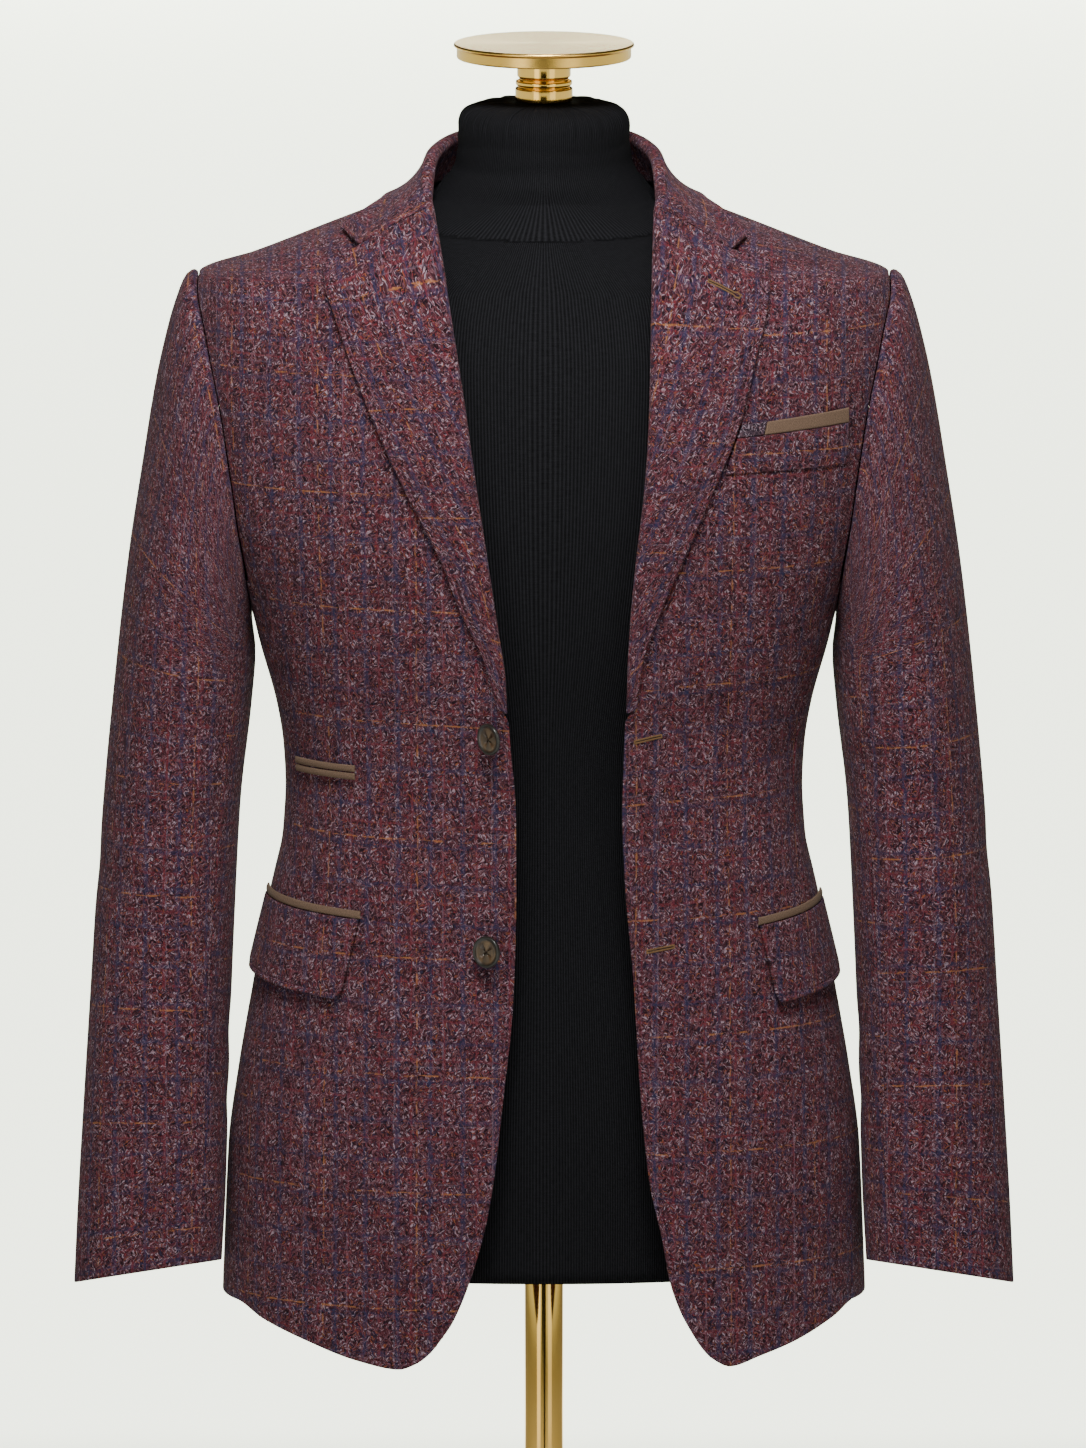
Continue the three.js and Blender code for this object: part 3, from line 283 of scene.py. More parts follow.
# %% The two fronts' sizes
HEM_REACH, GORGE_ROW, ROLL_GAP, ROLL_FOOT_GAP = 0.37, 1.87, 1.7, 2.2
GORGE_Z = 1023
neckline = curve_through(np.array([0, 0.3, 0.6, 1.0]), np.array([1023, 1027.5, 1030.2, NECK]))
LAPEL_COLUMNS = "share roll_x roll_z edge_x edge_z radius"

fronts = {
    RIGHT: {
        "name": "right",
        "edge": table("z x", [(306.8, 66.5), (319, 58.3), (343, 48.2), (383, 36.7), (410, 32), (461, 26),
                              (527, 19.4), (592, 17.6), (646, 17.8), (690, 21.2), (707, 22.6)]),
        "hem": table("x z", [(66.5, 306.8), (73, 298.5), (81.5, 291.8), (93, 287.6), (120, 292),
                             (151.4, 301.7), (180, 312), (197, HEM), (210, HEM)]),
        "lapel": [
            (0, 22.8, 712, 30, 717, 2.6), (0.1, 24, 735, 38, 747, 3), (0.2, 28.5, 765, 52, 775, 3.6),
            (0.33, 35.3, 810, 65.5, 810, 4.4), (0.5, 42.5, 857, 89, 856, 5), (0.64, 48.7, 901, 108, 897.5, 5),
            (0.77, 54.6, 939, 122.7, 934.6, 4.8), (0.86, 59, 966, 131.8, 960, 4.4),
            (0.94, 64.5, 1000, 138, 977, 4.2), (1, 69, 1023, 140, 988, 4),
        ],
        "gorge": {"notch_x": 114.4, "sag": 0.8, "point_x": 127, "point_z": 1005.5},
        "flap": {"front_x": 117, "slant": 10, "front": (573.4, 521.5), "side": (578, 530)},
    },
    LEFT: {
        "name": "left",
        "edge": table("z x", [(308, 96.5), (325, 87.2), (345, 80.3), (371, 75.6), (410, 67.1), (470, 61),
                              (537, 56.5), (601, 50.5), (646, 48.6), (690, 50), (707, 51.1)]),
        "hem": table("x z", [(96.5, 308), (101, 301), (107.4, 294), (119, 288.2), (138, 293.5),
                             (161.7, 301), (185, 312), (199, HEM), (210, HEM)]),
        "lapel": [
            (0, 51.2, 712, 58, 716, 2.6), (0.1, 51.8, 735, 62, 745, 3), (0.2, 53.6, 765, 71.5, 772, 3.6),
            (0.33, 57.8, 810, 88.2, 810, 4.4), (0.5, 63.2, 855, 108.5, 857, 5), (0.64, 66, 898, 124, 896, 5),
            (0.77, 67.1, 938, 134.5, 938, 4.8), (0.86, 67.6, 968, 140, 960, 4.4),
            (0.94, 68.4, 1000, 142.5, 978, 4.2), (1, 69, 1023, 142, 991, 4),
        ],
        "gorge": {"notch_x": 116.3, "sag": 5, "point_x": 128, "point_z": 1002},
        "flap": {"front_x": 136.5, "slant": 9.5, "front": (567.5, 517), "side": (575, 526)},
    },
}
for side, front in fronts.items():
    rows = table(LAPEL_COLUMNS, front["lapel"])
    front["cut"] = curves_of(LAPEL_COLUMNS, front["lapel"])
    dx, dz = rows["edge_x"] - rows["roll_x"], rows["edge_z"] - rows["roll_z"]
    gap = np.where(rows["share"] == 0, ROLL_FOOT_GAP, ROLL_GAP)
    step = (rows["radius"] + gap) / np.hypot(dx, dz)
    front["edge_x"] = curve_through(
        np.concatenate([front["edge"]["z"], rows["roll_z"] + dz * step]),
        np.concatenate([front["edge"]["x"], rows["roll_x"] + dx * step]),
    )
    front["hem_z"] = curve_through(front["hem"]["x"], front["hem"]["z"])


SWING = {"out": 12, "z": 650, "tall": 120, "wide": 45}


def swing(front, x, z):
    level = np.exp(-(((z - SWING["z"]) / SWING["tall"]) ** 2))
    near = np.maximum(0, 1 - np.maximum(0, x - front["edge_x"](z)) / SWING["wide"])
    return SWING["out"] * level * near * near


def on_front(front, x, z, lift):
    return body_point(turn_at(x, z), z, lift + swing(front, x, z))


print("front edges at the waist", [round(float(f["edge_x"](648)), 1) for f in fronts.values()])

# %% [markdown]
# ## Panels
# Front, side panel and back are ruled between their two long seams, with rows that run from the hem (0)
# by the underarm (1) to the shoulder (2). The front's and the back's upper seam goes round the armhole.

# %% Front, side and back
FRONT_SEAM = {"hem": 72, "joins": 142}
BACK_SEAM = {"hem": 112, "joins": 222}
VENT = {"top": 545, "lap": 6, "drop": 3.4, "sinks": 8, "fades_from": 111, "fades_over": 5}
NECK_SHARE = 1.7


def front_place(front, row, share):
    joint_turn, joint_z = armhole(FRONT_SEAM["joins"])
    gorge_turn = turn_at(front["edge_x"](GORGE_Z), GORGE_Z)
    corner_z = front["edge"]["z"][0]

    def edge_at(row):
        past = np.clip((row - GORGE_ROW) / (2 - GORGE_ROW), 0, 1)
        neck_z = neckline(past)
        neck_turn = np.minimum(mix(gorge_turn, 90, past), ridge_turn(neck_z, SEAM / 2))
        up = np.clip((row - 1) / (GORGE_ROW - 1), 0, 1)
        z = np.where(row <= 1, mix(corner_z, joint_z, row), mix(joint_z, GORGE_Z, up))
        along_neck = row > GORGE_ROW
        return np.where(along_neck, neck_turn, turn_at(front["edge_x"](z), z)), np.where(along_neck, neck_z, z)

    def seam_at(row):
        hole_turn, hole_z = armhole(mix(FRONT_SEAM["joins"], 0, np.clip(row - 1, 0, 1)))
        turn = np.where(row > 1, hole_turn, mix(FRONT_SEAM["hem"], joint_turn, row))
        z = np.where(row > 1, hole_z, mix(HEM, joint_z, row))
        return np.minimum(turn_beside(turn, z, -SEAM / 2), ridge_turn(z, SEAM / 2)), z

    def ruled(row):
        (edge_turn, edge_z), (seam_turn, seam_z) = edge_at(row), seam_at(row)
        return mix(edge_turn, seam_turn, share), mix(edge_z, seam_z, share)

    turn, z = ruled(row)
    straight_turn, straight_z = ruled(np.zeros_like(row))
    drop = front["hem_z"](ring_point(straight_turn, straight_z)[..., 0]) - straight_z
    return turn, z + drop * np.maximum(0, 1 - row / HEM_REACH) ** 2


def front_face(front, row, share):
    turn, z = front_place(front, row, share)
    x = ring_point(turn, z)[..., 0]
    return body_point(turn, z, swing(front, x, z)), front_cloth(turn, z)


def side_face(row, share):
    top_turn, top_z = armhole(mix(FRONT_SEAM["joins"], BACK_SEAM["joins"], share))
    z = mix(HEM, top_z, row)
    turn = mix(mix(FRONT_SEAM["hem"], BACK_SEAM["hem"], share), top_turn, row)
    turn = turn_beside(turn, z, mix(SEAM / 2, -SEAM / 2, share))
    middle = mix((FRONT_SEAM["hem"] + BACK_SEAM["hem"]) / 2, armhole(182)[0], row)
    cloth = front_cloth(turn, z)
    cloth[..., 0] -= look_up(around, middle, z)
    return body_point(turn, z), cloth


def back_face(row, share):
    joint_turn, joint_z = armhole(BACK_SEAM["joins"])
    hole_turn, hole_z = armhole(mix(BACK_SEAM["joins"], 360, np.clip(row - 1, 0, 1)))
    seam_turn = np.where(row > 1, hole_turn, mix(BACK_SEAM["hem"], joint_turn, row))
    seam_z = np.where(row > 1, hole_z, mix(HEM, joint_z, row))
    in_vent = smooth((VENT["top"] - seam_z) / VENT["sinks"])
    drop = smooth((VENT["top"] + 2 * VENT["sinks"] - seam_z) / VENT["sinks"])
    seam_turn = np.maximum(turn_beside(seam_turn, seam_z, SEAM / 2), ridge_turn(seam_z, -SEAM / 2))
    seam_turn = seam_turn - VENT["lap"] * in_vent
    middle_z = np.minimum(mix(HEM, NECK, row / NECK_SHARE), NECK)
    past = np.maximum(0, (row - NECK_SHARE) / (2 - NECK_SHARE))
    middle_turn = mix(turn_beside(180.0, middle_z, -SEAM / 2), 90, past)
    middle_turn = np.maximum(middle_turn, ridge_turn(middle_z, -SEAM / 2))
    turn, z = mix(seam_turn, middle_turn, share), mix(seam_z, middle_z, share)
    under = 1 - smooth((turn - VENT["fades_from"]) / VENT["fades_over"])
    return body_point(turn, z, np.where(row < 1, -VENT["drop"] * drop * under, 0)), back_cloth(turn, z)


# %% [markdown]
# ## Lapels and collar
# A lapel is the front folded back on itself: half a turn round its roll, then a leaf that lies on the
# chest with a slight belly. The collar stands up from the neck seam, folds, and falls to its outer edge.
# At its end it follows the lapel along the gorge, and then steps out to make the notch.

# %% Lapel and collar surfaces
ROLL_SHARE, STAND_SHARE = 0.4, 0.22
TURNED_CLOTH, TURNED_EDGE, COLLAR_CLOTH, TRIM_CLOTH, WELT_CLOTH = 1.7, 2.6, 1.7, 1.5, 1.2
EDGE_LIFT, COLLAR_EDGE_LIFT, GORGE_GAP, NOTCH_SHARE, NOTCH_OPENS = 4.6, 3.0, 0.35, 0.83, 2.4
SAGS_FROM, COLLAR_FOLD, END_REACH, FOOT_SINKS, FOOT_ENDS = 0.8, 3, 0.28, 2.3, 0.08


def turned_cloth(share):
    """Thickness: the turned-in edge is the thickest place of a lapel or collar."""
    return mix(TURNED_CLOTH, TURNED_EDGE, smooth(np.clip((share - ROLL_SHARE) / (1 - ROLL_SHARE), 0, 1)))


def roll_section(share, radius, width, under=0.0):
    """The rolled cloth: how far it is from the roll's outermost line and above the front, less a depth."""
    angle = mix(-90, 90, np.clip(share / ROLL_SHARE, 0, 1)) * DEGREE
    arc = radius - under
    leaf = np.clip((share - ROLL_SHARE) / (1 - ROLL_SHARE), 0, 1)
    belly = 1.4 * np.minimum(1, width / 60)
    rolling = share <= ROLL_SHARE
    along = np.where(rolling, radius - arc * np.cos(angle), mix(radius, width, leaf))
    flat = mix(2 * radius - CLOTH, EDGE_LIFT, smooth(leaf)) + belly * np.sin(np.pi * leaf) ** 2 - under
    return along, np.where(rolling, radius + arc * np.sin(angle) - CLOTH, flat)


def gorge_sag(front, x):
    notch_x, sag = front["gorge"]["notch_x"], front["gorge"]["sag"]
    roll_x, edge_x = front["lapel"][-1][1], front["lapel"][-1][3]
    share = np.where(x < notch_x, (x - roll_x) / (notch_x - roll_x), (edge_x - x) / (edge_x - notch_x))
    return sag * np.maximum(0, share)


def lapel_points(front, row, share):
    cut = front["cut"]
    x, z = cut["roll_x"](row), cut["roll_z"](row)
    dx, dz = cut["edge_x"](row) - x, cut["edge_z"](row) - z
    width = np.hypot(dx, dz)
    along, lift = roll_section(share, cut["radius"](row), width)
    lift = lift - FOOT_SINKS * (1 - smooth(row / FOOT_ENDS))
    step = along / width
    low = gorge_sag(front, x + dx * step) * smooth((row - SAGS_FROM) / (1 - SAGS_FROM))
    return on_front(front, x + dx * step, z + dz * step - low, lift)


collar = curves_of("share fold_x fold_y fold_z seam_turn seam_z turn z", [
    (0, 70, -50, 1028, 46, 1023.6, 61, 1005), (0.12, 73, -36, 1037.5, 58, 1027.8, 69, 1010.5),
    (0.25, 73.5, -18, 1047.5, 73, 1030.4, 80, 1016.5), (0.38, 71, 3, 1054, 90, NECK, 92, 1021),
    (0.5, 64.5, 26, 1057.5, 108, NECK, 108, 1021.5), (0.65, 52, 50, 1060, 130, NECK, 130, 1021),
    (0.8, 29, 67.5, 1061.5, 154, NECK, 154, 1020.5), (1, 0, 74, 1062, 180, NECK, 180, 1020),
])


def collar_end(front, share):
    _, roll_x, roll_z, edge_x, edge_z, radius = front["lapel"][-1]
    dx, dz = edge_x - roll_x, edge_z - roll_z
    width = math.hypot(dx, dz)
    ux, uz = dx / width, dz / width
    start_x, start_z = roll_x - uz * GORGE_GAP, roll_z + ux * GORGE_GAP
    gorge = front["gorge"]
    reach = (gorge["notch_x"] - roll_x) / (edge_x - roll_x)
    on_gorge = np.minimum(share, NOTCH_SHARE)
    leaf = (on_gorge - ROLL_SHARE) / (NOTCH_SHARE - ROLL_SHARE)
    place = np.where(leaf < 0, on_gorge, mix(ROLL_SHARE, 1, leaf * reach))
    along, lift = roll_section(place, radius, width, COLLAR_CLOTH)
    x = start_x + ux * along
    z = start_z + uz * along - gorge_sag(front, x)
    past = np.maximum(0, (share - NOTCH_SHARE) / (1 - NOTCH_SHARE))
    return on_front(front, mix(x, gorge["point_x"], past), mix(z, gorge["point_z"] + NOTCH_OPENS, past),
                    mix(lift, EDGE_LIFT - COLLAR_CLOTH, past))


def collar_row(g, share):
    fold = np.stack([collar["fold_x"](g), collar["fold_y"](g), collar["fold_z"](g)], axis=-1)
    seam_turn, seam_z = collar["seam_turn"](g), collar["seam_z"](g)
    out = ring_normal(seam_turn, seam_z)
    out[..., 2] = 0
    out = unit(out)
    up = np.array([0, 0, 1.0])
    seam = ring_point(seam_turn, seam_z) - out * CLOTH + up * 0.6
    centre = fold - up * COLLAR_FOLD
    s = share[..., None]
    stand = mix(seam, centre - out * COLLAR_FOLD, s / STAND_SHARE)
    angle = mix(180, 0, np.clip((s - STAND_SHARE) / (ROLL_SHARE - STAND_SHARE), 0, 1)) * DEGREE
    bend_over = centre + out * COLLAR_FOLD * np.cos(angle) + up * COLLAR_FOLD * np.sin(angle)
    start = centre + out * COLLAR_FOLD
    end = body_point(collar["turn"](g), collar["z"](g), COLLAR_EDGE_LIFT)
    bend = mix(start, end, 0.27)
    bend[..., 2] = mix(start[..., 2], end[..., 2], 0.74)
    leaf = (s - ROLL_SHARE) / (1 - ROLL_SHARE)
    fall = mix(mix(start, bend, leaf), mix(bend, end, leaf), leaf)
    return np.where(s <= STAND_SHARE, stand, np.where(s <= ROLL_SHARE, bend_over, fall))


def collar_inside(g, share):
    from_end = 1 - np.abs(g)
    point = collar_row(from_end, share)
    fade = (1 - smooth(from_end / END_REACH))[..., None]
    for side, front in fronts.items():
        here = (g < 0) if side == RIGHT else (g >= 0)
        at_end = collar_end(front, share) - collar_row(np.zeros_like(g), share)
        point = point + np.where(here[..., None], at_end * fade, 0)
    point[..., 0] *= np.where(g < 0, -1, 1)
    return point


# %% [markdown]
# ## Sleeves
# A two-piece sleeve: a wide top sleeve and a narrower under sleeve, joined at the forearm and hindarm
# seams. Its sections run from the armhole to the cuff, pitched forward below the elbow.

# %% Sleeve surface
tube = curves_of("run out_x out_z in_x in_z middle depth tilt", [
    (0, 220, 977, 187.4, 762, 5, 62, 0), (3, 222.6, 978.6, 187.4, 760, 5, 63.5, 0),
    (8, 226.6, 977, 187.3, 757.5, 5, 65.5, 0), (27, 234.6, 960, 186.8, 752.5, 5, 69, 0),
    (58, 242.8, 930, 186.2, 749, 5, 71.5, 0), (82, 247.8, 906.5, 185.6, 746, 5, 72.5, 0),
    (134, 256.5, 855, 184.9, 741, 5, 73, 0), (187, 264.8, 803, 184.3, 735, 5, 72, 0),
    (239, 271.2, 751, 184.3, 727, 5, 70, 0), (291, 276.2, 699.5, 187.5, 691, 4, 66.5, 0),
    (351, 281.5, 640, 193.5, 635, 2, 62, 0.02), (417, 286.5, 575, 197.3, 571, -4, 57, 0.06),
    (482, 290.5, 510, 200, 507, -12, 52, 0.1), (547, 294.5, 445, 201.8, 445, -22, 47, 0.13),
    (608, 298, 385, 203.4, 392, -32, 42, 0.16), (660, 300.5, 330.5, 206, 345, -40.5, 37.5, 0.18),
])
SLEEVE_LENGTH, SLEEVE_SETTLES, SLEEVE_GAP, SLEEVE_SEAM_TURN = 660, 110, 0.03, 0.03
FOREARM_SEAM, HINDARM_SEAM = 135, -78


def tube_point(place, run):
    outward, forward = np.cos(place * DEGREE), np.sin(place * DEGREE)
    ox, oz, ix, iz = (tube[name](run) for name in ("out_x", "out_z", "in_x", "in_z"))
    depth = tube["depth"](run)
    return np.stack([
        (ox + ix) / 2 + (ox - ix) / 2 * outward,
        tube["middle"](run) - depth * forward,
        (oz + iz) / 2 + (oz - iz) / 2 * outward + tube["tilt"](run) * depth * forward,
    ], axis=-1)


def sleeve_points(run, place):
    point = tube_point(place, run)
    left = (1 - smooth(run / SLEEVE_SETTLES))[..., None]
    hole_turn, hole_z = armhole(place)
    sewn = body_point(hole_turn, hole_z) + np.array([SLEEVE_GAP, 0, 0])
    return point + (sewn - tube_point(place, np.zeros_like(run))) * left


print("sleeve length", SLEEVE_LENGTH, "mm; cuff depth", 2 * float(tube["depth"](660)), "mm")

# %% [markdown]
# ## Making cloth
# A piece of cloth is a thin wall with a soft, rounded edge. Its two faces start from the same line at
# half the thickness and part along a quarter circle, which needs a few rows very close to the edge.
# Pick stitches pull a shallow groove beside the edge, so some rows are kept for that too. Creases are
# placed as soft troughs in cloth coordinates.

# %% Rows and columns that are fine at the edges
GROOVE = {"inset": 3.4, "width": 0.8, "depth": 0.55}
STITCH_RISE, STITCH_FADE = 0.22, 0.03
SEWN_TURN, ROLL_TURN = 0.75, 0.3
LEAST_FLAT, LEAST_FILL = 10.1, 0.31
EDGE_STEPS = [0, 0.03, 0.12, 0.32, 0.65, 1.05, 1.9, 2.6, 3.1, 3.6, 4.1, 4.6, 5.4]
ROUND_STEPS = EDGE_STEPS[:6]


def run_along(points, axis):
    """Distance along each row (axis 1) or column (axis 0) of a grid of points, from its start."""
    step = np.linalg.norm(np.diff(points, axis=axis), axis=-1)
    total = np.zeros(points.shape[:2])
    total[(slice(None), slice(1, None)) if axis == 1 else (slice(1, None),)] = np.cumsum(step, axis=axis)
    return total


def places_along(total, count, steps):
    """count places over a length in millimetres, with a list of small steps at its start and its end."""
    start, end = np.array(steps[0]), total - np.array(steps[1])[::-1]
    return np.concatenate([start, np.linspace(start[-1], end[0], count + 1)[1:-1], end])


def rows_of(stops, spacing, steps=(EDGE_STEPS, EDGE_STEPS)):
    """Row values between stops of (value, millimetres)."""
    values, lengths = (np.array(column, float) for column in zip(*stops))
    places = places_along(lengths[-1], max(1, round(lengths[-1] / spacing)), steps)
    return np.interp(places, lengths, values)


def grid_of(face, rows, low, high, spacing, steps=(EDGE_STEPS, EDGE_STEPS), before=()):
    """Rows and columns of a face. Each row's columns keep their true distance from the piece's sides."""
    coarse = np.linspace(low, high, 81)
    length = run_along(face(*np.meshgrid(rows, coarse, indexing="ij")), 1)
    count = max(1, round(length[:, -1].max() / spacing))
    across = [np.interp(places_along(line[-1], count, steps), line, coarse) for line in length]
    across = np.array([[*before, *line] for line in across])
    return np.broadcast_to(rows[:, None], across.shape), across


# %% The wall, its grooves and creases
def crease_depth(cloth, rows):
    """How deep a table of creases goes at each point. A row is start and end in cloth mm, width, depth."""
    depth = np.zeros(cloth.shape[:2])
    for a, b, c, d, width, deep in rows:
        start, line = np.array([a, b], float), np.array([c - a, d - b], float)
        along = np.clip(((cloth - start) @ line) / (line @ line), 0, 1)
        off = np.linalg.norm(cloth - start - along[..., None] * line, axis=-1)
        depth += deep * np.exp(-((off / width) ** 2)) * (0.35 + 0.65 * np.sin(np.pi * along) ** 0.7)
    return depth


def edge_lines(points):
    """For each of the four edges: distance from it, and place along it from 0 to 1."""
    across, up = run_along(points, 1), run_along(points, 0)
    wide, tall = np.maximum(across[:, -1:], 1e-9), np.maximum(up[-1:], 1e-9)
    return {
        "low_column": (across, up / tall), "high_column": (wide - across, up / tall),
        "low_row": (up, across / wide), "high_row": (tall - up, across / wide),
    }


def mesh_piece(name, points, faces, cloth=None, wrap=None):
    mesh = bpy.data.meshes.new(name)
    mesh.from_pydata((np.asarray(points, float) * MM).tolist(), [], [list(map(int, face)) for face in faces])
    if cloth is not None:
        corner = np.empty(len(mesh.loops), int)
        mesh.loops.foreach_get("vertex_index", corner)
        uv = (np.asarray(cloth, float) * MM)[corner]
        if wrap:
            starts = np.array([polygon.loop_start for polygon in mesh.polygons])
            counts = np.array([polygon.loop_total for polygon in mesh.polygons])
            highest = np.repeat(np.maximum.reduceat(uv[:, 0], starts), counts)
            uv[:, 0] += np.where(highest - uv[:, 0] > wrap * MM / 2, wrap * MM, 0)
        mesh.uv_layers.new(name="cloth").data.foreach_set("uv", uv.ravel())
    mesh.polygons.foreach_set("use_smooth", [True] * len(mesh.polygons))
    mesh.update()
    piece = bpy.data.objects.new(name, mesh)
    bpy.context.scene.collection.objects.link(piece)
    return piece


def quads_of(index, flipped=False):
    """The four-sided faces between the vertex numbers of a grid."""
    quads = np.stack([index[:-1, :-1], index[:-1, 1:], index[1:, 1:], index[1:, :-1]], axis=-1).reshape(-1, 4)
    return quads[:, [0, 3, 2, 1]] if flipped else quads


def tube_faces(rings, around, flipped=False):
    """Faces of a tube of rings, closed by a fan at each end round one of the two vertices that follow."""
    index = np.arange(rings * around).reshape(rings, around)
    index = np.concatenate([index, index[:, :1]], axis=1)
    first, last = rings * around, rings * around + 1
    fans = [[first, index[0, k + 1], index[0, k]] for k in range(around)]
    fans += [[last, index[-1, k], index[-1, k + 1]] for k in range(around)]
    return [*quads_of(index, flipped), *([[a, c, b] for a, b, c in fans] if flipped else fans)]


stitch_lines = {}


def line_beside(points, normal, distance, window, by_row, inset, rise):
    """A line at a distance from an edge, raised a little, as points in millimetres."""
    line = []
    for k in range(points.shape[0] if by_row else points.shape[1]):
        take = (k, slice(None)) if by_row else (slice(None), k)
        off, place = distance[take], window[take]
        order = np.argsort(off)
        here = [np.interp(inset, off[order], (points + normal * rise)[take][order, axis]) for axis in range(3)]
        if np.interp(inset, off[order], place[order]) > 0.5:
            line.append(here)
    return np.array(line)


def cloth_wall(name, points, cloth, thick, side=LEFT, stitched=None, folds=(), shift=0, free="all",
               sewn=SEWN_TURN):
    """A wall under a grid of points. stitched gives, for an edge, where its groove starts and ends. The
    edges named in free are soft; the others are sewn to a neighbour and turn sharply, within sewn mm."""
    normal = unit(np.cross(np.gradient(points, axis=1), np.gradient(points, axis=0)))
    edges = edge_lines(points)
    if len(folds):
        points = points - normal * crease_depth(cloth, folds)[..., None]
    lines = []
    for edge, (start, end) in (stitched or {}).items():
        distance, place = edges[edge]
        window = smooth((place - start) / STITCH_FADE + 0.5) * smooth((end - place) / STITCH_FADE + 0.5)
        lines.append(line_beside(points, normal, distance, window, "column" in edge, GROOVE["inset"],
                                 STITCH_RISE - GROOVE["depth"]))
        off = (distance - GROOVE["inset"]) / GROOVE["width"]
        points = points - normal * (GROOVE["depth"] * np.exp(-(off**2)) * window)[..., None]
    mirror = np.array([side, 1, 1])
    if lines:
        stitch_lines[name] = [line * mirror for line in lines if len(line) > 1]
    thick = np.broadcast_to(np.asarray(thick, float), points.shape[:2])
    reach = {edge: thick.max() / 2 if free == "all" or edge in free else sewn for edge in edges}
    inside = np.minimum.reduce([edges[edge][0] / reach[edge] for edge in edges])
    drop = thick / 2 * (1 - np.sqrt(1 - (1 - np.minimum(inside, 1)) ** 2))
    outer, inner = points - normal * drop[..., None], points - normal * (thick - drop)[..., None]
    m, n = points.shape[:2]
    index = np.arange(m * n).reshape(m, n)
    back = index.copy()
    back[1:-1, 1:-1] = m * n + np.arange((m - 2) * (n - 2)).reshape(m - 2, n - 2)
    faces = np.concatenate([quads_of(index), quads_of(back, flipped=True)])
    everything = np.concatenate([outer.reshape(-1, 3), inner[1:-1, 1:-1].reshape(-1, 3)]) * mirror
    uv = np.concatenate([cloth.reshape(-1, 2), cloth[1:-1, 1:-1].reshape(-1, 2)]) + shift
    piece = mesh_piece(name, everything, faces if side == LEFT else faces[:, ::-1], uv)
    corners = outer[:-1, :-1], outer[:-1, 1:], outer[1:, 1:], outer[1:, :-1]
    area = 0.5 * np.linalg.norm(np.cross(corners[2] - corners[0], corners[3] - corners[1]), axis=-1).sum()
    spread = np.ptp(cloth.reshape(-1, 2), axis=0)
    width, length = np.maximum(LEAST_FLAT, spread)
    return piece, float(width) * MM, float(length) * MM, area * MM * MM


def dress(made, node, material):
    """Gives a cloth piece its material, hangs it from the root, hides the solid it stands for, and prints how
    it was cut.
    """
    piece, width, length, area = made
    piece.data.materials.append(material)
    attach(piece, "root")
    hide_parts(node)
    area = min(max(area, LEAST_FILL * width * length), width * length)
    triangles = sum(len(f.vertices) - 2 for f in piece.data.polygons)
    print(f"{piece.name}: {triangles} triangles, cut {width:.3f} x {length:.3f} m, {area:.4f} m2")


# %% [markdown]
# ## A small language for shaders
# A Python expression is easier to read than a page of nodes. A Value wraps one socket, its operators add
# Math nodes, and Shader.node adds any other kind of node.

# %% Shader helpers
def linear(colour):
    """An sRGB colour in 0 to 255 as linear red, green, blue and alpha."""
    share = [c / 255 for c in colour]
    return (*[s / 12.92 if s <= 0.04045 else ((s + 0.055) / 1.055) ** 2.4 for s in share], 1.0)


class Value:
    def __init__(self, shader, socket):
        self.shader, self.socket = shader, socket

    def math(self, operation, *others):
        return self.shader.node("ShaderNodeMath", {"operation": operation}, self, *others)[0]

    def __add__(self, other): return self.math("ADD", other)
    def __radd__(self, other): return self.math("ADD", other)
    def __sub__(self, other): return self.math("SUBTRACT", other)
    def __rsub__(self, other): return (self * -1).math("ADD", other)
    def __mul__(self, other): return self.math("MULTIPLY", other)
    def __rmul__(self, other): return self.math("MULTIPLY", other)
    def __truediv__(self, other): return self.math("DIVIDE", other)
    def __rtruediv__(self, other): return self.math("POWER", -1).math("MULTIPLY", other)

    def fract(self): return self.math("FRACT")
    def sine(self): return self.math("SINE")
    def size(self): return self.math("ABSOLUTE")
    def clamp(self): return self.shader.node("ShaderNodeClamp", {}, self, 0, 1)[0]

    def step(self, low, high):
        """0 below low, 1 above high and smooth between them."""
        return self.shader.node(
            "ShaderNodeMapRange", {"interpolation_type": "SMOOTHSTEP"}, self, low, high, 0, 1)[0]


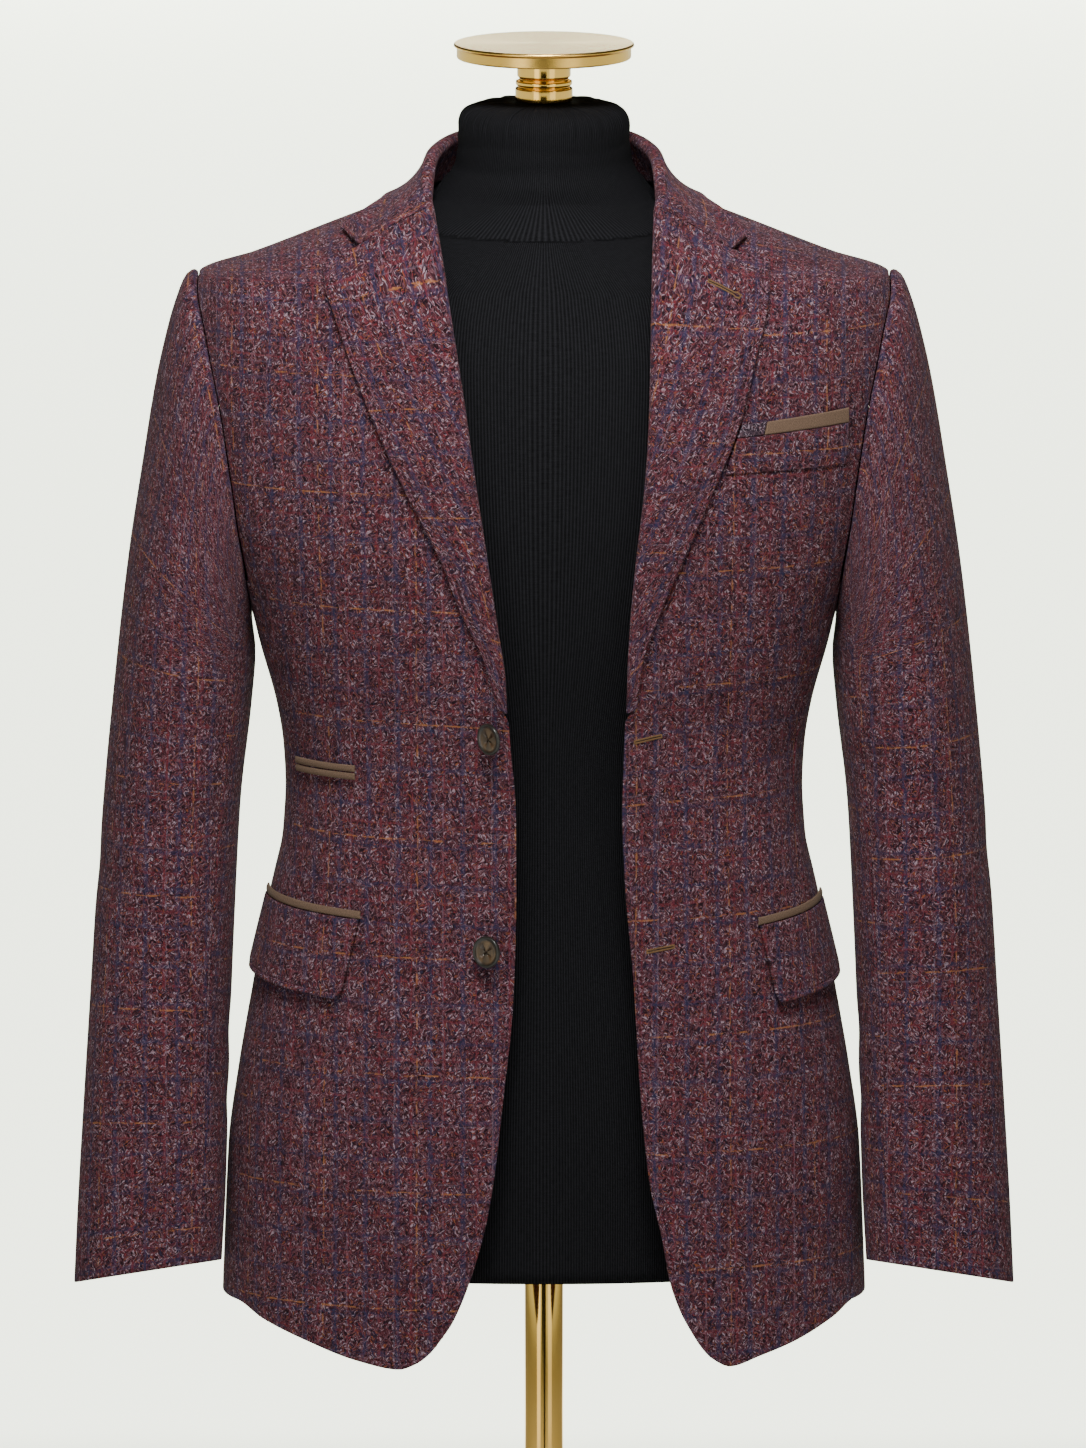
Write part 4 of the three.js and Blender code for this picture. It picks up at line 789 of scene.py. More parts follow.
class Shader:
    def __init__(self, name):
        self.material = bpy.data.materials.new(name)
        self.material.use_nodes = True
        self.tree = self.material.node_tree
        self.surface = next(n for n in self.tree.nodes if n.type == "BSDF_PRINCIPLED")

    def node(self, kind, settings, *inputs, **named):
        """Adds a node: its settings first, then the values or links of its sockets. Returns its outputs."""
        made = self.tree.nodes.new(kind)
        for key, value in settings.items():
            if key == "stops":
                ramp = made.color_ramp
                ramp.interpolation = settings.get("interpolation", "LINEAR")
                for k, (place, colour) in enumerate(value):
                    stop = ramp.elements[k] if k < 2 else ramp.elements.new(place)
                    stop.position, stop.color = place, colour
            elif key != "interpolation" or kind != "ShaderNodeValToRGB":
                setattr(made, key, value)
        enabled = [s for s in made.inputs if s.enabled]
        for socket, value in [*zip(enabled, inputs), *((self.find(made, k), v) for k, v in named.items())]:
            self.put(socket, value)
        return [Value(self, s) for s in made.outputs if s.enabled]

    def find(self, made, key):
        return next(s for s in made.inputs if s.enabled and s.name.replace(" ", "_") == key)

    def put(self, socket, value):
        if isinstance(value, Value):
            self.tree.links.new(value.socket, socket)
        elif value is not None:
            socket.default_value = value

    def set(self, **values):
        for key, value in values.items():
            self.put(self.find(self.surface, key), value)
        return self.material

    def cloth_mm(self):
        uv = self.node("ShaderNodeUVMap", {"uv_map": "cloth"})[0]
        return self.node("ShaderNodeVectorMath", {"operation": "SCALE"}, uv, Scale=1000)[0]

    def object_mm(self):
        place = self.node("ShaderNodeTexCoord", {})[3]
        return self.node("ShaderNodeVectorMath", {"operation": "SCALE"}, place, Scale=1000)[0]

    def axes(self, vector):
        return self.node("ShaderNodeSeparateXYZ", {}, vector)

    def noise(self, vector, scale, detail=2.0, dimensions="2D"):
        return self.node(
            "ShaderNodeTexNoise", {"noise_dimensions": dimensions}, vector, Scale=scale, Detail=detail)[0]

    def blend(self, share, a, b, how="MIX"):
        """Mixes two colours."""
        made = self.tree.nodes.new("ShaderNodeMix")
        made.data_type, made.blend_type = "RGBA", how
        for socket, value in zip([made.inputs[0], made.inputs[6], made.inputs[7]], [share, a, b]):
            self.put(socket, value)
        return Value(self, made.outputs[2])

    def bump(self, height, distance, strength=1.0):
        return self.node("ShaderNodeBump", {}, Strength=strength, Distance=distance, Height=height)[0]


# %% [markdown]
# ## Tweed
# The cloth is a rough crepe-like twill: short slubs of yarn about 2 mm long that lean one way here and the
# other way there. Most are wine and plum; some are pale lilac, navy, red or rust. A faint windowpane of
# rust thread crosses it, with quieter red and navy rows between. Voronoi cells stretched along two
# slants make the slubs, and their random value picks each yarn's colour.

# %% The tweed material
YARNS = [
    (0.00, (28, 13, 20)), (0.15, (55, 27, 33)), (0.36, (83, 44, 51)), (0.56, (40, 33, 51)),
    (0.65, (102, 69, 76)), (0.80, (141, 119, 129)), (0.89, (100, 36, 42)), (0.955, (120, 66, 44)),
]
NAVY_YARNS = [
    (0.0, (36, 28, 38)), (0.3, (60, 46, 56)), (0.55, (82, 62, 70)), (0.75, (124, 108, 118)),
    (0.92, (84, 46, 52)),
]
CHECK = [
    # direction, period, offset, half width, strength, colour, how much of it shows
    ("v", 75, 30.5, 0.65, 0.62, (162, 104, 60), 0.52), ("u", 64, 38, 0.6, 0.62, (160, 104, 62), 0.53),
    ("v", 25, 9, 1.8, 0.42, (40, 44, 76), 0.47), ("u", 21.33, 3, 1.8, 0.5, (40, 46, 78), 0.46),
    ("v", 25, 20.5, 1.0, 0.42, (110, 38, 46), 0.49), ("u", 21.33, 12.5, 1.0, 0.45, (112, 38, 46), 0.49),
    ("v", 37.5, 6, 0.6, 0.22, (126, 114, 130), 0.52), ("u", 32, 7, 0.6, 0.26, (126, 114, 132), 0.51),
]


def slubs(shader, cloth, slant, long=2.1, short=0.5):
    turned = shader.node("ShaderNodeMapping", {"vector_type": "TEXTURE"}, Vector=cloth,
                         Rotation=(0, 0, slant * DEGREE), Scale=(long, short, 1))[0]
    distance, colour, _ = shader.node("ShaderNodeTexVoronoi", {"voronoi_dimensions": "2D"}, Vector=turned,
                                      Scale=1.0, Randomness=0.9)[:3]
    return distance, shader.node("ShaderNodeSeparateColor", {}, colour)[0]


def tweed(name, yarns=YARNS, check=True, tone=1.0):
    shader = Shader(name)
    cloth = shader.cloth_mm()
    drift = shader.node("ShaderNodeTexNoise", {"noise_dimensions": "2D"}, cloth, Scale=0.35, Detail=1.0)[1]
    centred = shader.node("ShaderNodeVectorMath", {"operation": "SUBTRACT"}, drift, (0.5, 0.5, 0.5))[0]
    bent = shader.node("ShaderNodeVectorMath", {"operation": "MULTIPLY_ADD"}, centred, (2.6, 2.6, 0), cloth)[0]
    u, v, _ = shader.axes(cloth)
    patch = shader.noise(cloth, 0.24, 1.0).step(0.47, 0.53)
    (dist_a, pick_a), (dist_b, pick_b) = slubs(shader, bent, 62), slubs(shader, bent, -38)
    distance = dist_a * (1 - patch) + dist_b * patch
    pick = pick_a * (1 - patch) + pick_b * patch
    colour = shader.node("ShaderNodeValToRGB", {
        "interpolation": "CONSTANT", "stops": [(place, linear(c)) for place, c in yarns]}, pick)[0]
    if check:
        worn = shader.noise(cloth, 0.3, 2.0)
        axes, thread_noise = {"u": u, "v": v}, shader.noise(bent, 0.8, 1.0)
        for axis, period, offset, half, strength, dye, shown in CHECK:
            place = axes[axis] + thread_noise * (half * 1.2)
            beside = ((place + offset) / period).fract() * period - period / 2
            line = 1 - beside.size().step(half * 0.5, half * 1.3)
            drawn = shader.node("ShaderNodeMapping", {}, Vector=cloth, Location=(period, offset, 0),
                                Scale=(0.11, 0.6, 1) if axis == "v" else (0.6, 0.11, 1))[0]
            broken = shader.noise(drawn, 1.0, 2.0)
            seen = (broken * 0.7 + worn * 0.3).step(shown - 0.04, shown + 0.05)
            colour = shader.blend(line * seen * strength, colour, linear(dye))
    # Random broad tone, and painted shade: each slub is darkened towards its cell edge, as shade falls in the
    # gaps between yarns.
    shade = shader.noise(cloth, 0.03, 3.0) * 0.3 + 0.85
    shade = shade * (1 - distance.step(0.3, 0.75) * 0.45) * tone
    tone_and_gap_shade = shader.node("ShaderNodeCombineColor", {}, shade, shade, shade)[0]
    colour = shader.blend(1.0, colour, tone_and_gap_shade, "MULTIPLY")
    height = (1 - distance) + shader.noise(cloth, 1.6, 2.0) * 0.6
    return shader.set(Base_Color=colour, Roughness=0.95, Specular_IOR_Level=0.12,
                      Normal=shader.bump(height, 0.0005, 0.5),
                      Sheen_Weight=0.05, Sheen_Roughness=0.6, Sheen_Tint=(0.85, 0.6, 0.7, 1))


tweed_cloth = tweed("burgundy_tweed")
navy_cloth = tweed("navy_tweed", NAVY_YARNS, check=False)
print("tweed made with", len(YARNS), "yarns")

# %% [markdown]
# ## Trim, horn, thread, jersey and brass
# The pocket jets are cut from a fine brown wool twill. Buttons are polished horn: brown with faint streaks
# in the middle and almost black at the rim. The form wears a black ribbed jersey, and the stand is polished
# brass. Very fine rings from the turning run round the cap's flat top.

# %% The other materials
def twill(name, light, dark, pitch=0.9):
    shader = Shader(name)
    cloth = shader.cloth_mm()
    u, v, _ = shader.axes(cloth)
    rib = ((u * 0.8 + v) * (2 * math.pi / pitch)).sine() * 0.5 + 0.5
    fleck = shader.noise(cloth, 1.3, 2.0)
    share = (rib * 0.45 + fleck * 0.7 - 0.15).clamp()
    colour = shader.blend(share, linear(dark), linear(light))
    return shader.set(Base_Color=colour, Roughness=0.9, Specular_IOR_Level=0.15,
                      Normal=shader.bump(rib + fleck, 0.0002, 0.5),
                      Sheen_Weight=0.06, Sheen_Roughness=0.5, Sheen_Tint=(0.9, 0.8, 0.65, 1))


def horn(name):
    shader = Shader(name)
    cloth = shader.cloth_mm()
    u, v, _ = shader.axes(cloth)
    drawn = shader.node("ShaderNodeMapping", {}, Vector=cloth, Scale=(0.16, 0.05, 1))[0]
    streak = shader.noise(drawn, 1.0, 3.0)
    radius = (u * u + v * v).math("SQRT")
    rim = radius.step(6.6, 8.6)
    middle = shader.blend(streak.step(0.35, 0.68), linear((50, 37, 25)), linear((92, 71, 48)))
    colour = shader.blend(rim, middle, linear((27, 25, 20)))
    return shader.set(Base_Color=colour, Roughness=0.32, Coat_Weight=0.2, Coat_Roughness=0.15)


def thread(name, colour):
    shader = Shader(name)
    place = shader.object_mm()
    fleck = shader.noise(place, 2.5, 2.0, "3D")
    shade = shader.blend(fleck, linear([c * 0.7 for c in colour]), linear([min(255, c * 1.2) for c in colour]))
    return shader.set(Base_Color=shade, Roughness=0.75, Specular_IOR_Level=0.2)


def jersey(name):
    shader = Shader(name)
    cloth = shader.cloth_mm()
    u, v, _ = shader.axes(cloth)
    below = shader.node("ShaderNodeAttribute", {"attribute_name": "torso"})[2]
    ribs = u * (1 + below * 2) / 1.5
    rib = (ribs * (2 * math.pi)).sine() * 0.5 + 0.5
    loop = ((v + ribs.fract() * 0.4) * (2 * math.pi / 1.1)).sine() * 0.5 + 0.5
    lint = shader.noise(cloth, 0.8, 3.0)
    # Painted light and shade on the ribs: lighter on the crests, darker in the valleys. The lint flecks are
    # random tone.
    colour = shader.blend((rib * 0.6 + lint * 0.5 - 0.1).clamp(), linear((7, 7, 8)), linear((34, 34, 37)))
    return shader.set(Base_Color=colour, Roughness=0.9, Specular_IOR_Level=0.06,
                      Normal=shader.bump(rib + loop * 0.35, 0.0005, 0.8))


def brass(name, rings=False):
    shader = Shader(name)
    place = shader.object_mm()
    tone = shader.noise(place, 0.05, 2.0, "3D")
    colour = shader.blend(tone, (0.80, 0.47, 0.10, 1), (0.87, 0.55, 0.145, 1))
    if rings:
        x, y, _ = shader.axes(place)
        radius = (x * x + y * y).math("SQRT")
        height = (radius * (2 * math.pi / 0.35)).sine() + shader.noise(place, 3.0, 1.0, "3D")
        normal = shader.bump(height, 0.00006, 0.5)
        return shader.set(Base_Color=colour, Metallic=1.0, Roughness=0.26, Normal=normal)
    smear = shader.noise(place, 0.4, 3.0, "3D") * 0.06 + 0.08
    return shader.set(Base_Color=colour, Metallic=1.0, Roughness=smear)


trim_cloth = twill("brown_twill", (132, 108, 90), (58, 43, 33))
button_horn = horn("dark_horn")
dark_thread = thread("wine_thread", (112, 72, 86))
tan_thread = thread("tan_thread", (116, 88, 58))
seam_thread = thread("pale_thread", (128, 100, 104))
button_thread = thread("brown_thread", (46, 36, 26))
form_jersey = jersey("black_jersey")
polished_brass = brass("polished_brass")
turned_brass = brass("turned_brass", rings=True)

# %% [markdown]
# ## The blazer's panels
# Fronts, side panels and backs, then the sleeves. Creases are few: the cloth is firm. The sleeves break
# softly at the elbow and below the shoulder, and the skirt has a long, shallow hollow over each hip.

# %% Creases, each a soft trough: start and end in cloth millimetres, width, depth
FRONT_CREASES = {
    RIGHT: [(96, 330, 120, 520, 26, 1.5), (150, 60, 132, 230, 30, 1.8), (215, 430, 240, 600, 16, 1.4),
            (60, 70, 74, 260, 24, 1.0), (200, 300, 240, 322, 13, 1.0)],
    LEFT: [(110, 350, 128, 540, 24, 1.4), (172, 40, 148, 220, 28, 1.8), (214, 440, 236, 590, 15, 1.3),
           (118, 60, 124, 250, 22, 1.0), (196, 322, 236, 366, 12, 1.2), (140, 396, 205, 412, 14, 0.8)],
}
BACK_CREASES = [(60, 300, 120, 340, 18, 1.3), (90, 40, 96, 260, 30, 2.0), (150, 460, 196, 560, 18, 1.5),
                (30, 380, 90, 392, 16, 1.0)]
SIDE_CREASES = [(0, 60, 4, 230, 22, 1.2), (-10, 330, 14, 360, 12, 0.8)]
TOP_SLEEVE_CREASES = {
    RIGHT: [(34, 300, 104, 276, 15, 1.6), (20, 338, 96, 330, 12, 1.3), (-30, 366, 60, 382, 17, 1.5),
            (60, 60, 82, 190, 17, 1.5), (-60, 120, -46, 260, 22, 1.4), (10, 430, 90, 448, 20, 1.1),
            (-8, 60, 2, 250, 26, 0.8), (30, 520, 46, 640, 20, 0.9)],
    LEFT: [(40, 312, 108, 290, 14, 1.5), (24, 352, 92, 340, 13, 1.4), (-34, 356, 52, 376, 16, 1.4),
           (58, 50, 84, 200, 18, 1.4), (-58, 130, -50, 250, 20, 1.4), (6, 446, 84, 458, 18, 1.0),
           (-4, 70, 6, 240, 24, 0.8), (24, 530, 40, 630, 22, 1.0)],
}
UNDER_SLEEVE_CREASES = [
    (-30, 300, 30, 318, 14, 1.4), (-34, 350, 26, 342, 12, 1.2), (-20, 120, 10, 240, 16, 1.0),
]

# %% Cut the panels
FRONT_ROWS = rows_of([(0, 0), (1, 478), (GORGE_ROW, 716), (2, 764)], 4.5)
BACK_ROWS = rows_of([(0, 0), (1, 470), (NECK_SHARE, 680), (2, 760)], 5)
SIDE_ROWS = rows_of([(0, 0), (1, 450)], 5)
SLEEVE_ROWS = rows_of([(0, 0), (SLEEVE_LENGTH, SLEEVE_LENGTH)], 5)
for side, front in fronts.items():
    name = front["name"]
    row, share = grid_of(lambda r, s: front_face(front, r, s)[0], FRONT_ROWS, 0, 1, 4.5)
    edge = {"low_column": (0, 0.5), "low_row": (0, 0.3)}
    dress(cloth_wall(f"tweed_front_{name}", *front_face(front, row, share), CLOTH, side, edge,
                     FRONT_CREASES[side], 0 if side == LEFT else 1000, ("low_column", "low_row")),
          f"front_{name}", tweed_cloth)

    row, share = grid_of(lambda r, s: side_face(r, s)[0], SIDE_ROWS, 0, 1, 5)
    dress(cloth_wall(f"tweed_side_{name}", *side_face(row, share), CLOTH, side, None, SIDE_CREASES,
                     2500 + 500 * side, ("low_row",)),
          f"side_{name}", tweed_cloth)

    row, share = grid_of(lambda r, s: back_face(r, s)[0], BACK_ROWS, 0, 1, 5)
    dress(cloth_wall(f"tweed_back_{name}", *back_face(row, share), CLOTH, side, None, BACK_CREASES,
                     4500 + 500 * side, ("low_row",)),
          f"back_{name}", tweed_cloth)

    for half, low, high, folds, shift in (
        ("top", HINDARM_SEAM, FOREARM_SEAM, TOP_SLEEVE_CREASES[side], 6500),
        ("under", FOREARM_SEAM, HINDARM_SEAM + 360, UNDER_SLEEVE_CREASES, 8500),
    ):
        run, place = grid_of(sleeve_points, SLEEVE_ROWS, low + SLEEVE_SEAM_TURN, high - SLEEVE_SEAM_TURN, 5)
        points = sleeve_points(run, place)
        cloth = own_cloth(points, points.shape[1] // 2)
        dress(cloth_wall(f"tweed_sleeve_{half}_{name}", points, cloth, CLOTH, side, None, folds,
                         shift + 500 * side, ("high_row",)),
              f"sleeve_{half}_{name}", tweed_cloth)

# %% [markdown]
# ## Lapels, collar, pockets
# They lie on the panels and are worked out from the panels' own points, moved out by the cloth between.
# A lapel's roll needs many columns in a few millimetres, so its columns are listed there.

# %% Lapels and collar
NOTCH = {}
for side, front in fronts.items():
    _, gorge_x, _, edge_x, _, _ = front["lapel"][-1]
    NOTCH[side] = (front["gorge"]["notch_x"] - gorge_x) / (edge_x - gorge_x)
for side, front in fronts.items():
    name = front["name"]
    bend = [0, 0.002, 0.01, 0.03, *np.linspace(0.06, ROLL_SHARE, 15)[:-1]]
    row, share = grid_of(lambda r, s: lapel_points(front, r, s), rows_of([(0, 0), (1, 300)], 3),
                         ROLL_SHARE, 1, 2.5, ([0], EDGE_STEPS), bend)
    points = lapel_points(front, row, share)
    edge = {"high_column": (0.03, 1), "high_row": (NOTCH[side], 1)}
    dress(cloth_wall(f"tweed_lapel_{name}", points, own_cloth(points, points.shape[1] - 1),
                     turned_cloth(share), side, edge, (), 10500 + 500 * side, ("high_column",), ROLL_TURN),
          f"lapel_{name}", tweed_cloth)

bend = [0, 0.002, 0.01, *np.linspace(0.04, STAND_SHARE, 9)[:-1], *np.linspace(STAND_SHARE, ROLL_SHARE, 13)[:-1]]
g_rows = -rows_of([(-1, 0), (0, 225), (1, 450)], 3)
g, share = grid_of(collar_inside, g_rows, ROLL_SHARE, 1, 2.5, ([0], EDGE_STEPS), bend)
points = collar_inside(g, share)
points = points + COLLAR_CLOTH * unit(np.cross(np.gradient(points, axis=1), np.gradient(points, axis=0)))
cloth = own_cloth(points, len(bend))[..., ::-1]
edge = {"high_column": (0, 1), "low_row": (0.84, 1), "high_row": (0.84, 1)}
dress(cloth_wall("tweed_collar", points, cloth, turned_cloth(share), LEFT, edge, (), 12500,
                 ("high_column",), ROLL_TURN),
      "collar", tweed_cloth)

# %% Pocket flaps and jets
POCKET_TURN, POCKET_LENGTH, POCKET_HEIGHT, CORNER = 88, 118, 51, 7
JET_HEIGHT = 5.3
TICKET = {"front_x": 119.3, "far_turn": 69.3, "floor": 662.3, "height": 4.7, "apart": 0.4, "length": 62}


def strip_face(front, row, share, x, far_turn, bottom, top, lift):
    z = mix(bottom, top, row)
    turn = mix(turn_at(x, z), far_turn, share)
    across = ring_point(turn, z)[..., 0]
    return body_point(turn, z, lift + swing(front, across, z)), front_cloth(turn, z)


def flap_face(front, row, share):
    spec = front["flap"]
    from_end = np.minimum(share, 1 - share) * POCKET_LENGTH
    rounded = CORNER * np.maximum(0, 1 - from_end / CORNER) ** 2
    bottom, top = (mix(spec["front"][k], spec["side"][k], share) for k in (1, 0))
    return strip_face(front, row, share, spec["front_x"] + spec["slant"] * (1 - row), POCKET_TURN,
                      bottom + rounded, top, mix(5.2, 2.8, row))


def jet_face(front, row, share, x, far_turn, foot, height):
    lift = 0.9 + TRIM_CLOTH + 0.5 * np.sin(np.pi * row)
    return strip_face(front, row, share, x + 0 * row, far_turn, foot, foot + height, lift)


def narrow(height, length):
    """Rows and columns of a strip a few millimetres high."""
    rows = rows_of([(0, 0), (1, height)], 0.8, ([0, 0.03, 0.2, 0.45, 0.8], [0, 0.03, 0.2, 0.45, 0.8]))
    return np.meshgrid(rows, rows_of([(0, 0), (1, length)], 2.5, (ROUND_STEPS, ROUND_STEPS)), indexing="ij")


for side, front in fronts.items():
    name, spec = front["name"], front["flap"]
    row, share = np.meshgrid(rows_of([(0, 0), (1, POCKET_HEIGHT)], 2.5),
                             rows_of([(0, 0), (1, POCKET_LENGTH)], 2.5), indexing="ij")
    edge = {"low_row": (0.03, 0.97), "low_column": (0.1, 1), "high_column": (0.1, 1)}
    dress(cloth_wall(f"tweed_flap_{name}", *flap_face(front, row, share), CLOTH, side, edge, (),
                     0 if side == LEFT else 1000),
          f"flap_{name}", tweed_cloth)
    row, share = narrow(JET_HEIGHT, POCKET_LENGTH)
    foot = mix(spec["front"][0], spec["side"][0], share) + 0.4
    face = jet_face(front, row, share, spec["front_x"] - 1, POCKET_TURN, foot, JET_HEIGHT)
    dress(cloth_wall(f"twill_flap_jet_{name}", *face, TRIM_CLOTH, side),
          f"flap_jet_{name}", trim_cloth)

row, share = narrow(TICKET["height"], TICKET["length"])
for name, floor in (
    ("upper", TICKET["floor"] + TICKET["height"] + TICKET["apart"]), ("lower", TICKET["floor"]),
):
    face = jet_face(fronts[RIGHT], row, share, TICKET["front_x"], TICKET["far_turn"],
                    np.full_like(row, floor), TICKET["height"])
    dress(cloth_wall(f"twill_ticket_jet_{name}", *face, TRIM_CLOTH, RIGHT),
          f"ticket_jet_{name}", trim_cloth)

# %% The chest welt
WELT_INNER = {"top_x": 124.8, "bottom_x": 114.6, "top": 894, "bottom": 863}
WELT_OUTER = {"x": 192.4, "top": 900.7, "bottom": 864.5}


def welt_face(row, share, start, end, low, high, lift):
    place, level = mix(start, end, share), mix(low, high, row)
    z = mix(mix(WELT_INNER["bottom"], WELT_INNER["top"], level),
            mix(WELT_OUTER["bottom"], WELT_OUTER["top"], level), place)
    x = mix(mix(WELT_INNER["bottom_x"], WELT_INNER["top_x"], level), WELT_OUTER["x"], place)
    return on_front(fronts[LEFT], x, z, lift), front_cloth(turn_at(x, z), z)


welt_height, welt_length = 31.0, 67.6
facing, slit, end_gap = 1 - 8 / welt_height, 0.4 / welt_height, 0.4 / welt_length
split = (141.2 - 124.8) / welt_length
for name, node, slot, material, start, end, low, high, lift in (
    ("tweed_chest_welt", "chest_welt", "tweed", tweed_cloth, 0, 1, 0, facing - slit, 1.3),
    ("navy_welt_end", "welt_end", "navy_tweed", navy_cloth, 0, split - end_gap, facing, 1, 2.6),
    ("twill_welt_trim", "welt_trim", "trim", trim_cloth, split, 1, facing, 1, 2.8),
):
    row, share = np.meshgrid(
        rows_of([(0, 0), (1, (high - low) * welt_height)], 1.5, (ROUND_STEPS, ROUND_STEPS)),
        rows_of([(0, 0), (1, (end - start) * 74)], 2.5, (ROUND_STEPS, ROUND_STEPS)), indexing="ij")
    lift, thick = (mix(lift, 2.6, row), WELT_CLOTH) if node == "chest_welt" else (lift, CLOTH)
    dress(cloth_wall(name, *welt_face(row, share, start, end, low, high, lift), thick, LEFT),
          node, material)

# %% [markdown]
# ## The dress form
# The form is a smooth torso inside the blazer, covered in ribbed jersey. A seam runs round the base of its
# neck, and the jersey is gathered under the cap, which leaves fine radial wrinkles.

# %% Form surface
inset = curves_of("z all flank", [
    (340, 26, 4), (430, 19, 3), (500, 15, 2), (570, 13, 1), (648, 11, 0), (700, 10, 0), (762, 9, 1),
    (790, 8.5, 4), (830, 8.5, 10), (880, 8.5, 14), (930, 8.5, 14), (960, 9, 12), (977, 7.5, 8),
    (987, 5.2, 3), (997, 4, 0), (1007, 4, 0), (1020, 4.4, 0), (1031, 4.8, 0),
])
FORM_BOTTOM, FORM_TOP = 340, 1087
NECK_ROWS = [(1037, 64, 60, 63), (1046, 58, 57.5, 59.5), (1060, 55, 56.5, 58), (1072, 54.5, 56, 57),
             (1078, 53, 54.5, 55.5), (1082.5, 49, 50, 51), (1085.3, 40, 41, 42), (1086.5, 26, 27, 27),
             (1086.9, 12, 12, 12)]
FORM_TURNS = (np.arange(264) * 360 / 264 + 180) % 360
RIBS_ROUND = 264 * 1.5


def form_torso(turn, z):
    folded = np.where(turn <= 180, turn, 360 - turn)
    flank = np.abs(np.sin(folded * DEGREE)) ** 6
    point = body_point(folded, z, -inset["all"](z) - inset["flank"](z) * flank)
    point[..., 0] *= np.where(turn <= 180, 1, -1)
    return point


torso_z = np.concatenate([np.arange(340, 960, 10), np.arange(960, 1000, 4), np.arange(1000, 1031.1, 1.0)])
torso = form_torso(*np.broadcast_arrays(FORM_TURNS[None, :], torso_z[:, None]))
torso[0, :, 2] = FORM_BOTTOM
turn, z = np.broadcast_arrays(FORM_TURNS[None, :], np.array(NECK_ROWS)[:, :1])
half, ahead, behind = (np.array(NECK_ROWS)[:, [k]] for k in (1, 2, 3))
coarse = np.concatenate([torso[-3:], square_ellipse(turn, z, half, ahead, behind, 2.0)])
reach = run_along(coarse, 0).mean(axis=1)
fine_reach = np.linspace(reach[2], reach[-1], 90)[1:]
neck = np.empty((len(fine_reach), len(FORM_TURNS), 3))
for k in range(len(FORM_TURNS)):
    for axis in range(3):
        neck[:, k, axis] = curve_through(reach, coarse[:, k, axis])(fine_reach)
form_points = np.concatenate([torso, neck])

# %% The form's seam, its soft bands and gathers, then its mesh
rng = np.random.default_rng(7)
around_form = np.concatenate([form_points[:, -1:], form_points, form_points[:, :1]], axis=1)
normal = unit(np.cross(np.gradient(around_form, axis=1)[:, 1:-1], np.gradient(form_points, axis=0)))
z, angle = form_points[..., 2], FORM_TURNS * DEGREE
ahead = np.clip(np.cos(angle), 0, 1)[None, :]
seam_z = 1027 - 20 * ahead**0.8 + 14.4 * (1 - ahead) ** 2
groove = 0.9 * np.exp(-(((z - seam_z) / 1.2) ** 2)) - 0.3 * np.exp(-(((z - seam_z + 3.4) / 1.8) ** 2))
wave = sum(np.sin(angle * k + rng.uniform(0, 6.28)) * rng.uniform(0.4, 1) for k in (37, 52, 61, 83, 97))
gather = 0.26 * wave[None, :] * smooth((z - 1064) / 12) * (1 - smooth((z - 1086.3) / 0.5))
bands = 0.6 * np.exp(-(((z - 1049 - 2 * np.sin(angle * 2)[None, :]) / 4.5) ** 2)) + 0.45 * np.exp(
    -(((z - 1061 + 2 * np.sin(angle * 3)[None, :]) / 3.5) ** 2))
form_points = form_points - normal * (groove + gather + bands * smooth((z - 1040) / 6))[..., None]
low_rings = [form_points[0] * [1 - share, 1 - share, 1] for share in (0.5, 0.14, 0.06, 0.02)]
rows = np.concatenate([np.array(low_rings), form_points])
m, n = rows.shape[:2]
faces = tube_faces(m, n)
rise = run_along(rows, 0)
across = np.broadcast_to(np.arange(n) * 1.5, (m, n))
cloth = np.concatenate([np.stack([across, rise], axis=-1).reshape(-1, 2), [[0, 0], [0, rise[-1, 0] + 20]]])
points = np.concatenate([rows.reshape(-1, 3), [[0, 0, FORM_BOTTOM], [0, 0, FORM_TOP]]])
form = mesh_piece("jersey_form", points, faces, cloth, RIBS_ROUND)
form.data.materials.append(form_jersey)
on_torso = form.data.attributes.new("torso", "FLOAT", "POINT")
below_seam = form_points[..., 2] < seam_z
below = np.concatenate([np.full(len(low_rings) * n, True), below_seam.ravel(), [True, False]])
on_torso.data.foreach_set("value", below.astype(np.float32))
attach(form, "root")
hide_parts("form_body")
print("form:", len(form.data.polygons), "faces")

# %% [markdown]
# ## The stand
# Foot, pole, the grooved stem above the neck and the cap are turned brass. Each profile is spun round the
# axis, after its corners have been eased by a small curve, as polishing does.

# %% Turn the stand
def ease(profile, radius, steps=4):
    """The profile with each corner replaced by a short curve."""
    points = [np.array(p, float) for p in profile]
    out = [points[0]]
    for a, corner, b in zip(points, points[1:], points[2:]):
        start = corner + (a - corner) * min(radius / np.linalg.norm(a - corner), 0.45)
        end = corner + (b - corner) * min(radius / np.linalg.norm(b - corner), 0.45)
        for t in np.linspace(0, 1, steps + 1):
            out.append(mix(mix(start, corner, t), mix(corner, end, t), t))
    return np.array([*out, points[-1]])


def lathe(name, profile, segments):
    """A closed solid of turning. The profile starts and ends on the axis."""
    spin = np.arange(segments) * 2 * math.pi / segments
    inner = profile[1:-1]
    rows = np.stack([inner[:, :1] * np.cos(spin), inner[:, :1] * np.sin(spin),
                     np.broadcast_to(inner[:, 1:], (len(inner), segments))], axis=-1)
    ends = [[0, 0, profile[0][1]], [0, 0, profile[-1][1]]]
    points = np.concatenate([rows.reshape(-1, 3), ends])
    return mesh_piece(name, points, tube_faces(len(inner), segments), points[:, :2])


